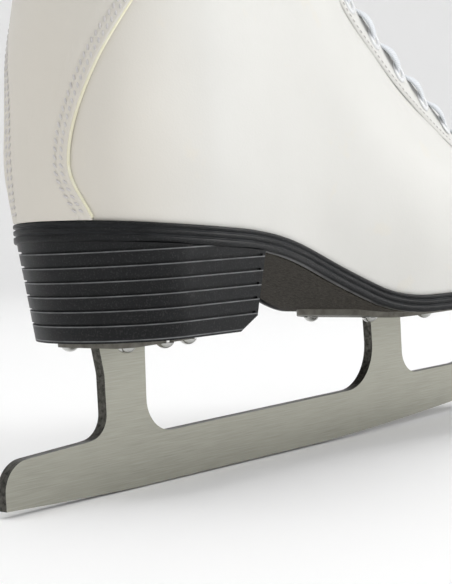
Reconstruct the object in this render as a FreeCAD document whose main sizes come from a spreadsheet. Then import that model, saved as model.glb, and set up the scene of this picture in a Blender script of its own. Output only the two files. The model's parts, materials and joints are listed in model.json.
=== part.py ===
import FreeCAD, Part
import math
import os

import Sketcher

Vector = FreeCAD.Vector

# Right figure skate, mondopoint 240.  X runs forward to the toe, +Y to the skate's left (the inner
# side of a right foot) and Z up.  The origin is where the rocker touches the ice, on the blade's
# mid-plane.
SIZES = {
    # blade
    "blade_thick": 3.9, "rocker_radius": 2134, "runner_deep": 16.8, "tail_x": -96.5,
    "rear_post_x": -54, "rear_post_long": 19.6, "front_post_x": 92, "front_post_long": 20.3,
    "pick_x": 150, "pick_z": 41, "pick_radius": 40, "pick_teeth": 6,
    # plates and screws
    "plate_thick": 2.2, "heel_plate_x": -58.5, "heel_plate_long": 41, "heel_plate_wide": 35,
    "sole_plate_x": 67, "sole_plate_long": 114.5, "sole_plate_wide": 46,
    "screw_head": 6, "screw_dome": 1.9, "screw_shank": 3.2, "heel_screw_long": 11,
    "sole_screw_long": 7.5,
    # heel and outsole
    "heel_base": 50, "heel_half": 31.5, "heel_back": 25.8, "heel_round_x": -41.75,
    "heel_front_x": -14, "heel_flare": 0.06, "heel_grooves": 6, "groove_pitch": 4.6,
    "groove_high": 0.8, "groove_deep": 0.9,
    "welt_thick": 6.3, "welt_ledge": 1.2, "sole_front": 48, "board_thick": 1.6, "board_inset": 3,
    # upper
    "leather": 1.6, "overlay": 1.2, "lining": 1.4, "stiffener": 1.0, "glue": 0.2,
    "tongue_thick": 5, "lace_gap": 4.2, "tongue_crown": 1.6, "flap_long": 34, "hinge_rise": 5,
    "fold_gap": 0.8,
    "insole_thick": 2.4, "footbed_thick": 3.5,
    # lacing
    "eyestay_wide": 24, "eyelet_pairs": 6, "eyelet_pitch": 18, "eyelet_first": 7, "eyelet_inset": 9,
    "eyelet_bore": 4.6, "eyelet_wall": 0.5, "eyelet_flange": 8.6,
    "hook_pairs": 4, "hook_pitch": 16.5, "hook_first": 114, "hook_wide": 7.5, "hook_reach": 6.6, "rivet": 2.8,
    "lace_wide": 2.4, "knot_wide": 9, "tip_long": 16,
}

# The last: eleven stations from the back of the heel (0) round the side to the tip of the toe (10).
# Each row holds one station's five levels from the welt up to the collar or the facing edge, as
# (x, half width, z).
LAST = [
    [(-73.8, 0, 88.3), (-77, 0, 107), (-72.5, 0, 136), (-66, 0, 178), (-71, 0, 222)],
    [(-64.4, 23, 87.8), (-67, 24.7, 107), (-63.5, 24, 136), (-57, 22.5, 178), (-61, 24.5, 223)],
    [(-36, 32.6, 85.3), (-36, 35, 106), (-34, 34, 136), (-30, 32, 180), (-27, 34, 227)],
    [(-2, 31.5, 79.9), (-2, 35, 103), (-1, 35, 136), (2, 33.5, 181), (4, 32, 234)],
    [(30, 25.5, 71.2), (29, 32, 97), (28, 35, 133), (27, 32, 182), (22, 22, 240)],
    [(60, 27.5, 59.6), (59, 34, 84), (56, 35, 114), (49, 30, 150), (37, 20, 190)],
    [(90, 34.5, 54.3), (89, 39, 74), (84, 38, 99), (75, 31, 131), (62, 19.5, 163)],
    [(119, 38.5, 54.3), (119, 41.5, 71), (115, 39.5, 91), (106, 31, 118), (92, 18, 142)],
    [(147, 36, 54.3), (148, 39.5, 67), (146, 37, 83), (136, 28, 104), (118, 15, 125)],
    [(172, 25.5, 54.3), (174, 28.5, 64), (171, 26.5, 77), (158, 19.5, 96), (136, 11, 111.5)],
    [(189, 0, 55.4), (191, 0, 64), (187, 0, 77), (171, 0, 95), (144, 0, 106.5)],
]
# How far the last swings sideways at the welt, station by station: out at the waist, in at the toe.
SWING = [0, 0, 0, -1.2, -3.5, -3.2, -2, -1.5, 0, 2, 3]
# Share of the upper's height over which it is drawn down on to the outsole.
SEATED = 0.3
TOE = len(LAST) - 1
LEVELS = len(LAST[0]) - 1

# Underside of the sole in side view: heel seat, shank slope, flat tread and toe spring.  Each corner
# is (x, z, radius of the bend there).
SOLE_LINE = [(-80, 82.9, 0), (5.2, 74.5, 177), (69.9, 48, 81), (186, 48, 60), (196, 49.4, 0)]


doc = FreeCAD.newDocument("figure_skate")
sheet = doc.addObject("Spreadsheet::Sheet", "sizes")
for row, (alias, value) in enumerate(SIZES.items(), start=1):
    sheet.set("A%d" % row, alias)
    sheet.set("B%d" % row, str(value))
    sheet.setAlias("B%d" % row, alias)
doc.recompute()
finished = []


def size(alias):
    """A driving dimension, read from the sheet."""
    return float(getattr(sheet, alias))


def keep(feature, label):
    """Name a finished sub-part and list it for export."""
    feature.Label = label
    finished.append(feature)
    return feature


def keep_shape(shape, label):
    """A sub-part whose shape is worked out below, held as a plain feature."""
    feature = doc.addObject("Part::Feature", label)
    feature.Shape = shape
    return keep(feature, label)


# ---------------------------------------------------------------- outlines and sketches

def rounded(corners, closed=True):
    """Lines and tangent arcs along corners given as (x, y, radius)."""
    edges = []
    count = len(corners)
    joints = []
    for i in range(count):
        x, y, radius = corners[i]
        here = Vector(x, y, 0)
        if radius == 0 or (not closed and i in (0, count - 1)):
            joints.append((here, None, here))
            continue
        before = Vector(*corners[i - 1][:2], 0) - here
        after = Vector(*corners[(i + 1) % count][:2], 0) - here
        half = before.getAngle(after) / 2
        cut = radius / math.tan(half)
        start = here + before.normalize() * cut
        end = here + after.normalize() * cut
        middle = (before + after).normalize()
        top = here + middle * (radius / math.sin(half) - radius)
        joints.append((start, top, end))
    for i in range(count):
        start, top, end = joints[i]
        if top:
            edges.append(Part.Arc(start, top, end))
        if i + 1 < count or closed:
            nearest = joints[(i + 1) % count][0]
            if end.distanceToPoint(nearest) > 1e-6:
                edges.append(Part.LineSegment(end, nearest))
    return edges


def wire_on_side(edges):
    """An outline drawn as (x, z), stood up in the plane Y = 0."""
    wire = Part.Wire([edge.toShape() for edge in edges])
    wire.rotate(Vector(0, 0, 0), Vector(1, 0, 0), 90)
    return wire


def side_slab(edges, half_width):
    """A side-view outline thickened to both sides of the mid-plane."""
    face = Part.Face(wire_on_side(edges))
    face.translate(Vector(0, half_width, 0))
    return face.extrude(Vector(0, -2 * half_width, 0))


def sketch(body, role, outlines, lift=0.0):
    """A sketch on one of the body's own origin planes, holding closed outlines."""
    item = body.newObject("Sketcher::SketchObject", body.Name + "_sketch")
    plane = [f for f in body.Origin.OriginFeatures if f.Role == role][0]
    item.AttachmentSupport = (plane, [""])
    item.MapMode = "FlatFace"
    item.AttachmentOffset = FreeCAD.Placement(Vector(0, 0, lift), FreeCAD.Rotation())
    for edges in outlines:
        item.addGeometry(edges, False)
    return item


def pad(body, profile, length, midplane=False):
    feature = body.newObject("PartDesign::Pad", body.Name + "_pad")
    feature.Profile = profile
    feature.setExpression("Length", length)
    feature.Midplane = midplane
    profile.Visibility = False
    return feature


def pocket(body, profile, length, midplane=True, reverse=False):
    """A cut, checked to have taken something away."""
    doc.recompute()
    before = body.Shape.Volume
    feature = body.newObject("PartDesign::Pocket", body.Name + "_pocket")
    feature.Profile = profile
    feature.setExpression("Length", length)
    feature.Midplane = midplane
    feature.Reversed = reverse
    doc.recompute()
    if body.Shape.Volume >= before - 1e-3:
        raise RuntimeError(body.Name + ": a pocket cut nothing")
    return feature


def new_body(name):
    return doc.addObject("PartDesign::Body", name)


# ---------------------------------------------------------------- blade

def rocker_z(x):
    """Height of the ground edge above the ice."""
    return size("rocker_radius") - math.sqrt(size("rocker_radius") ** 2 - x * x)


def pick_teeth():
    """Toe pick: pointed teeth round the front of the blade, from the lowest up."""
    centre = Vector(size("pick_x"), size("pick_z"), 0)
    tip, root = size("pick_radius"), size("pick_radius") - 3.2
    teeth = int(size("pick_teeth"))
    lowest, step = math.radians(-66), math.radians(62) / teeth
    corners = []
    for i in range(teeth):
        for radius, share in ((tip, 0.0), (root, 0.35)):
            angle = lowest + (i + share) * step
            corners.append((centre.x + radius * math.cos(angle),
                            centre.y + radius * math.sin(angle), 0))
    return corners


def blade_runner():
    """Blade stamped from one strip of stainless steel: runner, two posts, tail and toe pick."""
    rear, front = size("rear_post_x"), size("front_post_x")
    rear_end, front_end = rear + size("rear_post_long"), front + size("front_post_long")
    rear_top = size("heel_base") - size("plate_thick")
    front_top = size("sole_front") - size("plate_thick")
    deep = size("runner_deep")
    tail = size("tail_x")
    outline = [
        (tail, rocker_z(tail) - 2, 0), (tail, deep - 0.4, 9.5), (rear - 8, deep + 1.4, 30),
        (rear + 0.9, deep + 2.6, 8), (rear + 0.9, rear_top - 9, 12), (rear - 0.8, rear_top, 0),
        (rear_end + 0.3, rear_top, 0), (rear_end - 0.6, deep, 11.5),
        (front + 1, deep + 1.5, 17), (front, front_top, 0),
        (front_end, front_top, 0), (front_end, deep + 3.5, 9.5),
        (front_end + 46, deep + 3.8, 24), (178, 35, 9), (187, 36, 2),
    ]
    outline += pick_teeth()[::-1]
    outline += [(size("pick_x") + 9, rocker_z(size("pick_x")) + 0.4, 4),
                (size("pick_x"), rocker_z(size("pick_x")) - 4, 0)]
    body = new_body("blade")
    pad(body, sketch(body, "XZ_Plane", [rounded(outline)]), "sizes.blade_thick", midplane=True)
    ends = [tail - 3, size("pick_x") + 7]
    below = [
        Part.Arc(Vector(ends[0], rocker_z(ends[0]), 0), Vector(0, 0, 0),
                 Vector(ends[1], rocker_z(ends[1]), 0)),
        Part.LineSegment(Vector(ends[1], rocker_z(ends[1]), 0), Vector(ends[1], -8, 0)),
        Part.LineSegment(Vector(ends[1], -8, 0), Vector(ends[0], -8, 0)),
        Part.LineSegment(Vector(ends[0], -8, 0), Vector(ends[0], rocker_z(ends[0]), 0)),
    ]
    pocket(body, sketch(body, "XZ_Plane", [below]), "sizes.blade_thick * 2")
    return keep(body, "blade_runner")


def cross_drilled(body, spots, bore):
    """Screw holes through a plate, at (x, y) spots."""
    circles = [Part.Circle(Vector(x, y, 0), Vector(0, 0, 1), bore / 2) for x, y in spots]
    pocket(body, sketch(body, "XY_Plane", [[circle] for circle in circles]), "sizes.heel_base * 3")


def heel_screw_spots():
    x, half = size("heel_plate_x"), size("heel_plate_wide") / 2
    rows = ((x + 5, half - 4.5), (x + 21, half - 3), (x + 34, half - 5))
    return [(px, side * py) for px, py in rows for side in (-1, 1)]


def sole_screw_spots():
    x, length, half = size("sole_plate_x"), size("sole_plate_long"), size("sole_plate_wide") / 2
    rows = ((8, half - 9), (37, half - 4), (66, half - 3.5), (length - 12, half - 6))
    return [(x + along, side * py) for along, py in rows for side in (-1, 1)]


def heel_plate():
    """Pressed steel plate brazed on the rear post, under the heel."""
    x, length, half = size("heel_plate_x"), size("heel_plate_long"), size("heel_plate_wide") / 2
    outline = [(x, -half, 6), (x + length, -half + 3, 11), (x + length, half - 3, 11), (x, half, 6)]
    body = new_body("heel_plate_body")
    profile = sketch(body, "XY_Plane", [rounded(outline)])
    profile.setExpression("AttachmentOffset.Base.z", "sizes.heel_base - sizes.plate_thick")
    pad(body, profile, "sizes.plate_thick")
    cross_drilled(body, heel_screw_spots(), size("screw_shank") + 0.3)
    return keep(body, "heel_plate")


def sole_line(drop):
    """The sole's side-view line, moved down by drop, square to itself."""
    wire = Part.Wire([edge.toShape() for edge in rounded(SOLE_LINE, closed=False)])
    if drop == 0:
        return wire
    return wire.makeOffset2D(drop, fill=False, openResult=True)


def height_on(wire, x):
    """Height of a side-view line at x: on a straight run, or on an arc by its circle."""
    for edge in wire.Edges:
        ends = sorted(((v.X, v.Y) for v in edge.Vertexes))
        if not ends[0][0] - 1e-6 <= x <= ends[1][0] + 1e-6:
            continue
        if isinstance(edge.Curve, Part.Circle):
            centre, radius = edge.Curve.Center, edge.Curve.Radius
            sign = 1 if ends[0][1] > centre.y else -1
            return centre.y + sign * math.sqrt(radius ** 2 - (x - centre.x) ** 2)
        share = (x - ends[0][0]) / (ends[1][0] - ends[0][0])
        return ends[0][1] + share * (ends[1][1] - ends[0][1])
    raise ValueError("no sole at x = %g" % x)


def strip(upper_drop, lower_drop):
    """Side-view face between two lines that run along the sole, standing in Y = 0."""
    upper, lower = sole_line(upper_drop), sole_line(lower_drop)
    ends = [sorted((v.Point for v in wire.Vertexes), key=lambda p: p.x) for wire in (upper, lower)]
    caps = [Part.makeLine(ends[0][k], ends[1][k]) for k in (0, -1)]
    face = Part.Face(Part.Wire(Part.__sortEdges__(upper.Edges + lower.Edges + caps)))
    face.rotate(Vector(0, 0, 0), Vector(1, 0, 0), 90)
    return face


def along_sole(upper_drop, lower_drop, half_width=60):
    """A sheet of even thickness that follows the sole from side to side."""
    face = strip(upper_drop, lower_drop)
    face.translate(Vector(0, half_width, 0))
    return face.extrude(Vector(0, -2 * half_width, 0))


def prism(edges):
    """A plan outline as a tall upright prism."""
    face = Part.Face(Part.Wire([edge.toShape() for edge in edges]))
    face.translate(Vector(0, 0, -10))
    return face.extrude(Vector(0, 0, 300))


def heel_plate_underside(x):
    return size("heel_base") - size("plate_thick")


def plate_underside(x):
    """Height of the sole plate's underside over a point of the blade line."""
    return height_on(sole_line(size("plate_thick")), x)


def sole_plate():
    """Pressed steel plate brazed on the front post; it follows the tread of the sole."""
    x, length, half = size("sole_plate_x"), size("sole_plate_long"), size("sole_plate_wide") / 2
    outline = [(x, -half + 6, 7), (x + 24, -half, 30), (x + length - 30, -half, 40),
               (x + length, -half + 9, 13), (x + length, half - 9, 13),
               (x + length - 30, half, 40), (x + 24, half, 30), (x, half - 6, 7)]
    plate = along_sole(0, size("plate_thick")).common(prism(rounded(outline)))
    cuts = []
    for px, py in sole_screw_spots():
        cuts.append(Part.makeCylinder(size("screw_shank") / 2 + 0.15, 60, Vector(px, py, 20)))
        flat = Vector(px, py, plate_underside(px) - 4)
        cuts.append(Part.makeCylinder(size("screw_head") / 2 + 0.3, 4, flat))
    return keep_shape(plate.cut(cuts), "sole_plate")


def screws(spots, label, seat, long):
    """Domed screws driven up through a plate; seat(x) is the plate's underside."""
    radius, dome = size("screw_head") / 2, size("screw_dome")
    ball = (radius ** 2 + dome ** 2) / (2 * dome)
    solids = []
    for x, y in spots:
        base = seat(x)
        head = Part.makeSphere(ball, Vector(x, y, base - dome + ball))
        head = head.common(Part.makeCylinder(radius, dome, Vector(x, y, base - dome)))
        shank = Part.makeCylinder(size("screw_shank") / 2, long, Vector(x, y, base - 0.01))
        solids.append(head.fuse(shank).removeSplitter())
    return keep_shape(Part.makeCompound(solids), label)


# ---------------------------------------------------------------- heel and outsole

def heel_outline(rise, shrink=0.0):
    """Plan outline of the heel at a height above its base: round back, flared sides, flat breast."""
    back = size("heel_back") + 0.2 * rise - shrink
    half = size("heel_half") + 0.06 * rise - shrink
    centre = size("heel_round_x")
    front = size("heel_front_x") + 0.19 * rise
    flare = size("heel_flare") * (front - centre)
    arc = [Vector(centre - back * math.cos(u), half * math.sin(u), 0)
           for u in [math.pi / 2 * k / 6 for k in range(-6, 7)]]
    curve = Part.BSplineCurve()
    curve.interpolate(arc)
    corner_low, corner_high = Vector(front, -half - flare, 0), Vector(front, half + flare, 0)
    return [curve, Part.LineSegment(arc[-1], corner_high),
            Part.LineSegment(corner_high, corner_low), Part.LineSegment(corner_low, arc[0])]


def heel_wire(rise, shrink=0.0):
    wire = Part.Wire([edge.toShape() for edge in heel_outline(rise, shrink)])
    wire.translate(Vector(0, 0, size("heel_base") + rise))
    return wire


def sole_space():
    """Everything above the heel block: the region that the outsole and upper fill."""
    top = wire_on_side(rounded(SOLE_LINE + [(196, 200, 0), (-90, 200, 0), (-90, 83.9, 0)]))
    face = Part.Face(top)
    face.translate(Vector(0, 60, 0))
    return face.extrude(Vector(0, -120, 0))


def heel_block():
    """Moulded heel: tapered block with grooves round its sides and a bevelled front edge."""
    tall = 40
    block = Part.makeLoft([heel_wire(0), heel_wire(tall)], True, True)
    block = block.cut(sole_space())
    front = size("heel_front_x")
    bevel = [(front - 8.6, -1, 0), (front + 9, 9.5, 0), (front + 9, -1, 0)]
    bevel = [(x, z + size("heel_base"), 0) for x, z, r in bevel]
    block = block.cut(side_slab(rounded(bevel), 60))
    deep, high = size("groove_deep"), size("groove_high")
    for i in range(1, int(size("heel_grooves")) + 1):
        rise = 1.32 + i * size("groove_pitch") - high / 2
        slab = Part.makeBox(150, 120, high, Vector(-110, -60, size("heel_base") + rise))
        core = Part.makeLoft([heel_wire(0, deep), heel_wire(tall, deep)], True, True)
        front_half = Part.makeBox(40, 120, high * 3, Vector(front - 1.2 + 0.19 * rise, -60,
                                                            size("heel_base") + rise - high))
        block = block.cut(slab.cut(core).cut(front_half))
    return keep_shape(block, "heel_block")


def sole_outline(ledge):
    """Plan outline of the outsole: the last's welt line moved out by a ledge."""
    points = []
    for k in range(4 * TOE):
        place = k / 2
        here = surface(place, 0)
        ahead, behind = surface(place + 0.2, 0), surface(place - 0.2, 0)
        run = Vector(ahead.x - behind.x, ahead.y - behind.y, 0).normalize()
        points.append(Vector(here.x, here.y, 0) + Vector(run.y, -run.x, 0) * ledge)
    curve = Part.BSplineCurve()
    curve.interpolate(points, PeriodicFlag=True)
    return [curve]


def outsole_welt():
    """Moulded outsole whose edge shows all round the boot, with two grooves in it."""
    thick, ledge = size("welt_thick"), size("welt_ledge")
    sole = along_sole(-thick, 0).common(prism(sole_outline(ledge)))
    inner = prism(sole_outline(ledge - size("groove_deep")))
    for drop in (0.34 * thick, 0.67 * thick):
        band = along_sole(-drop - size("groove_high"), -drop)
        sole = sole.cut(band.cut(inner))
    recess = along_sole(-size("board_thick"), 3).common(prism(sole_outline(-size("board_inset"))))
    breast = size("heel_front_x") + 7
    recess = recess.common(Part.makeBox(250, 120, 200, Vector(breast, -60, 0)))
    return keep_shape(sole.cut([recess, shank_space(0.05)]), "outsole_welt")


def sole_board():
    """Leather-fibre board let into the underside from the heel breast to the toe."""
    board = along_sole(-size("board_thick"), 0).common(prism(sole_outline(-size("board_inset") - 0.1)))
    breast = size("heel_front_x") + 7.1
    return keep_shape(board.common(Part.makeBox(250, 120, 200, Vector(breast, -60, 0))), "sole_board")




def inset_sheet(low, high, inset, label):
    """Sheet that follows the sole inside the upper, between two heights above the outsole."""
    base = size("welt_thick")
    layer = along_sole(-(base + high), -(base + low)).common(prism(sole_outline(-inset)))
    return keep_shape(layer, label)


def insole_parts():
    """Fibre insole board, and the cushioned footbed glued on it."""
    gap, board = 0.1, size("insole_thick")
    inset_sheet(gap, gap + board, STACK + 1.6, "insole_board")
    inset_sheet(2 * gap + board, 2 * gap + board + size("footbed_thick"), STACK + 2.4, "footbed")


def shank_space(clear):
    """Room in the outsole's top for the shank, with clearance on its sides and floor."""
    wide, thick, long = 14, 1.4, 115
    corner = Vector(-45 - clear, -wide / 2 - 1.5 - clear, 0)
    plan = Part.makeBox(long + 2 * clear, wide + 2 * clear, 120, corner)
    top = -size("welt_thick")
    return along_sole(top, top + thick + clear).common(plan)


def heel_nails():
    """Ring-shank nails driven from inside the boot through the seat into the heel block."""
    solids = []
    for x, y in ((-58, 0), (-46, 15), (-46, -15), (-28, 17), (-28, -17)):
        top = welt_top(x) - 0.2
        head = Part.makeCylinder(2.2, 0.8, Vector(x, y, top - 0.8))
        solids.append(head.fuse(Part.makeCylinder(1.1, 20, Vector(x, y, top - 20.8))))
    return keep_shape(Part.makeCompound(solids), "heel_nails")


# ---------------------------------------------------------------- the last and its leather panels

TOP_OF_SOLE = sole_line(-size("welt_thick"))


def spline(values, place):
    """Smooth curve through values at 0, 1, 2, ...; runs straight on past the ends."""
    last = len(values) - 1
    k = min(max(int(math.floor(place)), 0), last - 1)
    f = place - k
    p1, p2 = values[k], values[k + 1]
    p0 = values[k - 1] if k > 0 else 2 * p1 - p2
    p3 = values[k + 2] if k + 2 <= last else 2 * p2 - p1
    return (p1 + 0.5 * f * (p2 - p0 + f * (2 * p0 - 5 * p1 + 4 * p2 - p3
                                           + f * (3 * (p1 - p2) + p3 - p0))))


def welt_top(x):
    """Height of the outsole's top face over a point of the blade line."""
    return height_on(TOP_OF_SOLE, x)


def station(place):
    """A station's row of the last, with its side; 0..10 is the outer side, 10..20 the inner."""
    k = int(place) % (2 * TOE)
    side = -1 if k <= TOE else 1
    k = k if k <= TOE else 2 * TOE - k
    return [Vector(x, side * half + SWING[k] * (1 - level / LEVELS), z)
            for level, (x, half, z) in enumerate(LAST[k])]


def surface(place, level):
    """Point on the outside of the upper: place 0..20 round the foot, level 0..1 up it."""
    base = math.floor(place)
    rows = [station(base + k) for k in (-1, 0, 1, 2)]
    point = []
    for axis in range(3):
        column = [spline([p[axis] for p in row], level * LEVELS) for row in rows]
        point.append(spline(column, 1 + place - base))
    if level < SEATED:
        foot = [spline([row[0][axis] for row in rows], 1 + place - base) for axis in (0, 2)]
        point[2] += (welt_top(foot[0]) - foot[1]) * (1 - level / SEATED) ** 2
    return Vector(*point)


def outward(place, level):
    """Unit normal of the last's surface, pointing away from the foot."""
    low, high = max(level - 0.02, 0), min(level + 0.02, 1)
    along = surface(place + 0.05, level) - surface(place - 0.05, level)
    up = surface(place, high) - surface(place, low)
    return along.cross(up).normalize()


def sheet_between(outer, inner):
    """Closed solid between two grids of points that face each other."""
    skins = []
    for grid in (outer, inner):
        skin = Part.BSplineSurface()
        skin.interpolate(grid)
        skins.append(skin)
    faces = [skin.toShape() for skin in skins]
    low_u, high_u, low_v, high_v = skins[0].bounds()
    borders = [[skin.uIso(u) for skin in skins] for u in (low_u, high_u)]
    borders += [[skin.vIso(v) for skin in skins] for v in (low_v, high_v)]
    for pair in borders:
        wall = Part.BSplineSurface()
        wall.buildFromNSections(pair)
        faces.append(wall.toShape())
    shell = Part.makeShell(faces)
    shell.sewShape(1e-5)
    solid = Part.makeSolid(shell)
    if solid.Volume < 0:
        solid.reverse()
    return solid


def offset_point(place, level, out):
    return surface(place, level) + outward(place, level) * out


def panel(corner_map, rows, columns, out, thick):
    """Leather panel on the last.  corner_map(a, b) gives (place, level) for a, b in 0..1."""
    grids = []
    for off in (out, out - thick):
        grid = []
        for i in range(rows + 1):
            spots = [corner_map(i / rows, j / columns) for j in range(columns + 1)]
            grid.append([offset_point(place, level, off) for place, level in spots])
        grids.append(grid)
    return sheet_between(*grids)


THROAT = 8.6


def vamp_seam(level):
    """Station where the quarter ends and the vamp begins, at a level."""
    return 8.0 + (THROAT - 8.0) * level


def inset_level(place, distance):
    """Level that lies a distance below the facing edge, measured along the leather."""
    level, gone, here = 1.0, 0.0, surface(place, 1.0)
    while gone < distance and level > 0.02:
        level -= 0.005
        there = surface(place, level)
        gone += here.distanceToPoint(there)
        here = there
    return level


def other_side(place):
    """The matching place on the inner side of the foot."""
    return 2 * TOE - place


# ---------------------------------------------------------------- upper

# Depths under the outside of the leather: the stiffeners, the lining, and the whole stack.
MIDDLE = size("leather") + size("glue")
INSIDE = MIDDLE + size("stiffener") + size("glue")
STACK = INSIDE + size("lining")


def across(first, last, low=0.0, high=1.0):
    """Panel outline between two edges; each may be a number or a function of level."""
    def corner_map(a, b):
        level = low + (high - low) * b
        start = first(level) if callable(first) else first
        end = last(level) if callable(last) else last
        return start + (end - start) * a, level
    return corner_map


def side_panels(label, out, thick, top=lambda place: 1.0):
    """One panel each side, from the back seam to the vamp seam; top(place) is its upper level."""
    panels = []
    for side, inner in (("outer", False), ("inner", True)):
        def corner_map(a, b, inner=inner):
            level = b * top(a * vamp_seam(b))
            place = 0.015 + a * (vamp_seam(level) - 0.015)
            return (other_side(place) if inner else place), level
        panels.append((label % side, panel(corner_map, 34, 12, out, thick)))
    return panels


def lining_top(place):
    """The lining ends under the collar, and clear of the fastenings along the throat."""
    share = min(max((place - 3.2) / 1.4, 0), 1)
    return 0.97 - 0.17 * share * share * (3 - 2 * share)


VAMP_ROWS, VAMP_COLUMNS = 18, 8


def vamp_sheet(out, thick, trim=0, top=VAMP_COLUMNS):
    """The vamp or a layer under it; trim rows are left off each end, and top counts its columns."""
    def corner_map(a, b):
        level = b * top / VAMP_COLUMNS
        share = (trim + a * (VAMP_ROWS - 2 * trim)) / VAMP_ROWS
        start = vamp_seam(level) + 0.01
        return start + (other_side(start) - start) * share, level
    return panel(corner_map, VAMP_ROWS - 2 * trim, top, out, thick)


def backstay_half(level):
    """Half width, in stations, of the strip that covers the back seam and spreads into a cuff."""
    return spline([0.72, 0.52, 0.80, 1.70, 2.50], level * LEVELS)


def backstay_panel():
    return panel(across(lambda v: -backstay_half(v), backstay_half, 0.004, 0.985), 20, 12,
                 size("overlay") + size("glue"), size("overlay"))


def facing_edge_length(low, high):
    """Length of the facing's edge between two places."""
    steps = 20
    points = [surface(low + (high - low) * k / steps, 1.0) for k in range(steps + 1)]
    return sum(points[k].distanceToPoint(points[k + 1]) for k in range(steps))


def facing_place(distance):
    """Place on the outer facing that lies a distance up the edge from the throat."""
    low, high = 4.0, THROAT
    for _ in range(24):
        middle = (low + high) / 2
        if facing_edge_length(middle, THROAT) > distance:
            low = middle
        else:
            high = middle
    return (low + high) / 2


def eyestay_map(inner):
    """Band beside the throat, from the vamp seam to the collar."""
    def corner_map(a, b):
        place = THROAT - 0.06 + (4.1 - THROAT) * a
        low = inset_level(place, size("eyestay_wide"))
        level = low + (1.0 - low) * b
        return (other_side(place) if inner else place), level
    return corner_map


def fastening_spots(count, first, pitch):
    """(place, level) of each fastening of one row, from the throat up."""
    spots = []
    for k in range(int(count)):
        place = facing_place(first + k * pitch)
        spots.append((place, inset_level(place, size("eyelet_inset"))))
    return spots


EYELET_SPOTS = fastening_spots(size("eyelet_pairs"), size("eyelet_first"), size("eyelet_pitch"))
HOOK_SPOTS = fastening_spots(size("hook_pairs"), size("hook_first"), size("hook_pitch"))


def seat_frame(place, level):
    """Point, outward normal, direction up the facing and direction away from the throat."""
    point, normal = surface(place, level), outward(place, level)
    rising = -1 if place < TOE else 1
    edge = surface(place + 0.1 * rising, level) - surface(place - 0.1 * rising, level)
    edge = (edge - normal * edge.dot(normal)).normalize()
    away = surface(place, level - 0.05) - point
    away = (away - normal * away.dot(normal) - edge * away.dot(edge)).normalize()
    return point, normal, edge, away


def stand_on(shape, point, x_axis, y_axis, z_axis):
    """Copy of a shape made in its own axes, moved to a seat on the upper."""
    copy = shape.copy()
    copy.Placement = FreeCAD.Placement(FreeCAD.Matrix(
        x_axis.x, y_axis.x, z_axis.x, point.x, x_axis.y, y_axis.y, z_axis.y, point.y,
        x_axis.z, y_axis.z, z_axis.z, point.z, 0, 0, 0, 1))
    return copy


def drill(solid, inner):
    """Holes for the eyelets and the hook rivets, square to the leather."""
    drills = []
    for spots, radius in ((EYELET_SPOTS, size("eyelet_bore") / 2 + size("eyelet_wall") + 0.02),
                          (HOOK_SPOTS, size("rivet") / 2 + 0.02)):
        for place, level in spots:
            place = other_side(place) if inner else place
            point, normal = surface(place, level), outward(place, level)
            drills.append(Part.makeCylinder(radius, 12, point - normal * 8, normal))
    return solid.cut(drills)


def eyelet():
    """Rolled brass eyelet, painted white: a tube with a domed flange outside."""
    bore, wall = size("eyelet_bore") / 2, size("eyelet_wall")
    top = size("overlay") + size("glue") + 0.05
    deep = size("leather") + 0.4
    tube = Part.makeCylinder(bore + wall, deep + top, Vector(0, 0, -deep))
    flange = Part.makeCone(size("eyelet_flange") / 2, bore + 1.2, 0.8, Vector(0, 0, top))
    hole = Part.makeCylinder(bore, deep + 8, Vector(0, 0, -deep - 2))
    return tube.fuse(flange).cut(hole)


def hook():
    """Speed hook bent from steel strip: a base under an arm that opens away from the throat."""
    reach = size("hook_reach")
    outline = [(-4.2, 0, 1), (-4.2, reach - 0.6, 2.2), (5.5, reach, 0.3), (5.5, reach - 0.9, 0.3),
               (-3.2, reach - 1.5, 1.3), (-3.2, 0.9, 0.3), (4.5, 0.9, 0.3), (4.5, 0, 0.3)]
    face = Part.Face(wire_on_side(rounded(outline)))
    bar = face.extrude(Vector(0, size("hook_wide"), 0))
    seat = size("overlay") + size("glue") + 0.25
    bar.translate(Vector(0, -size("hook_wide") / 2, seat))
    deep = size("leather") + 0.4
    rivet = Part.makeCylinder(size("rivet") / 2, deep + seat + 0.4, Vector(0, 0, -deep))
    return bar.fuse(rivet)


def on_facing(piece, spots, inner):
    """Copies of a fastening on one facing, each square to the leather."""
    solids = []
    for place, level in spots:
        place = other_side(place) if inner else place
        point, normal, edge, away = seat_frame(place, level)
        side = normal.cross(away)
        solids.append(stand_on(piece, point, away, side, normal))
    return Part.makeCompound(solids)


def collar_roll():
    """Padded binding rolled over the top edge, from one facing round the back to the other."""
    radius = STACK / 2 + 0.3
    places = [3.8 - 7.6 * k / 16 for k in range(17)]
    points = [offset_point(place, 1.0, -STACK / 2) + Vector(0, 0, radius + 0.5) for place in places]
    curve = Part.BSplineCurve()
    curve.interpolate(points)
    start = Part.Wire(Part.makeCircle(radius, points[0], curve.tangent(curve.FirstParameter)[0]))
    roll = Part.Wire(curve.toShape()).makePipeShell([start], True, False)
    for end, other in ((points[0], points[1]), (points[-1], points[-2])):
        roll = roll.fuse(Part.makeSphere(radius, end))
    return roll


# ---------------------------------------------------------------- tongue

def tongue_row(place, slide=Vector(0, 0, 0), narrow=1.0):
    """Outer points of the tongue across the throat at one place of the facings."""
    depth = -(size("leather") + size("lace_gap"))
    halves = []
    for spot in (place, other_side(place)):
        levels = [inset_level(place, d) for d in (13, 6.5)] + [1.0]
        halves.append([offset_point(spot, level, depth) for level in levels])
    lean = outward(place, 1.0) + outward(other_side(place), 1.0)
    lean = Vector(lean.x, 0, lean.z).normalize()
    ridge = (halves[0][-1] + halves[1][-1]) * 0.5 + lean * size("tongue_crown")
    row = halves[0] + [ridge] + halves[1][::-1]
    return [Vector(p.x, p.y * narrow, p.z) + slide for p in row]


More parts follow.
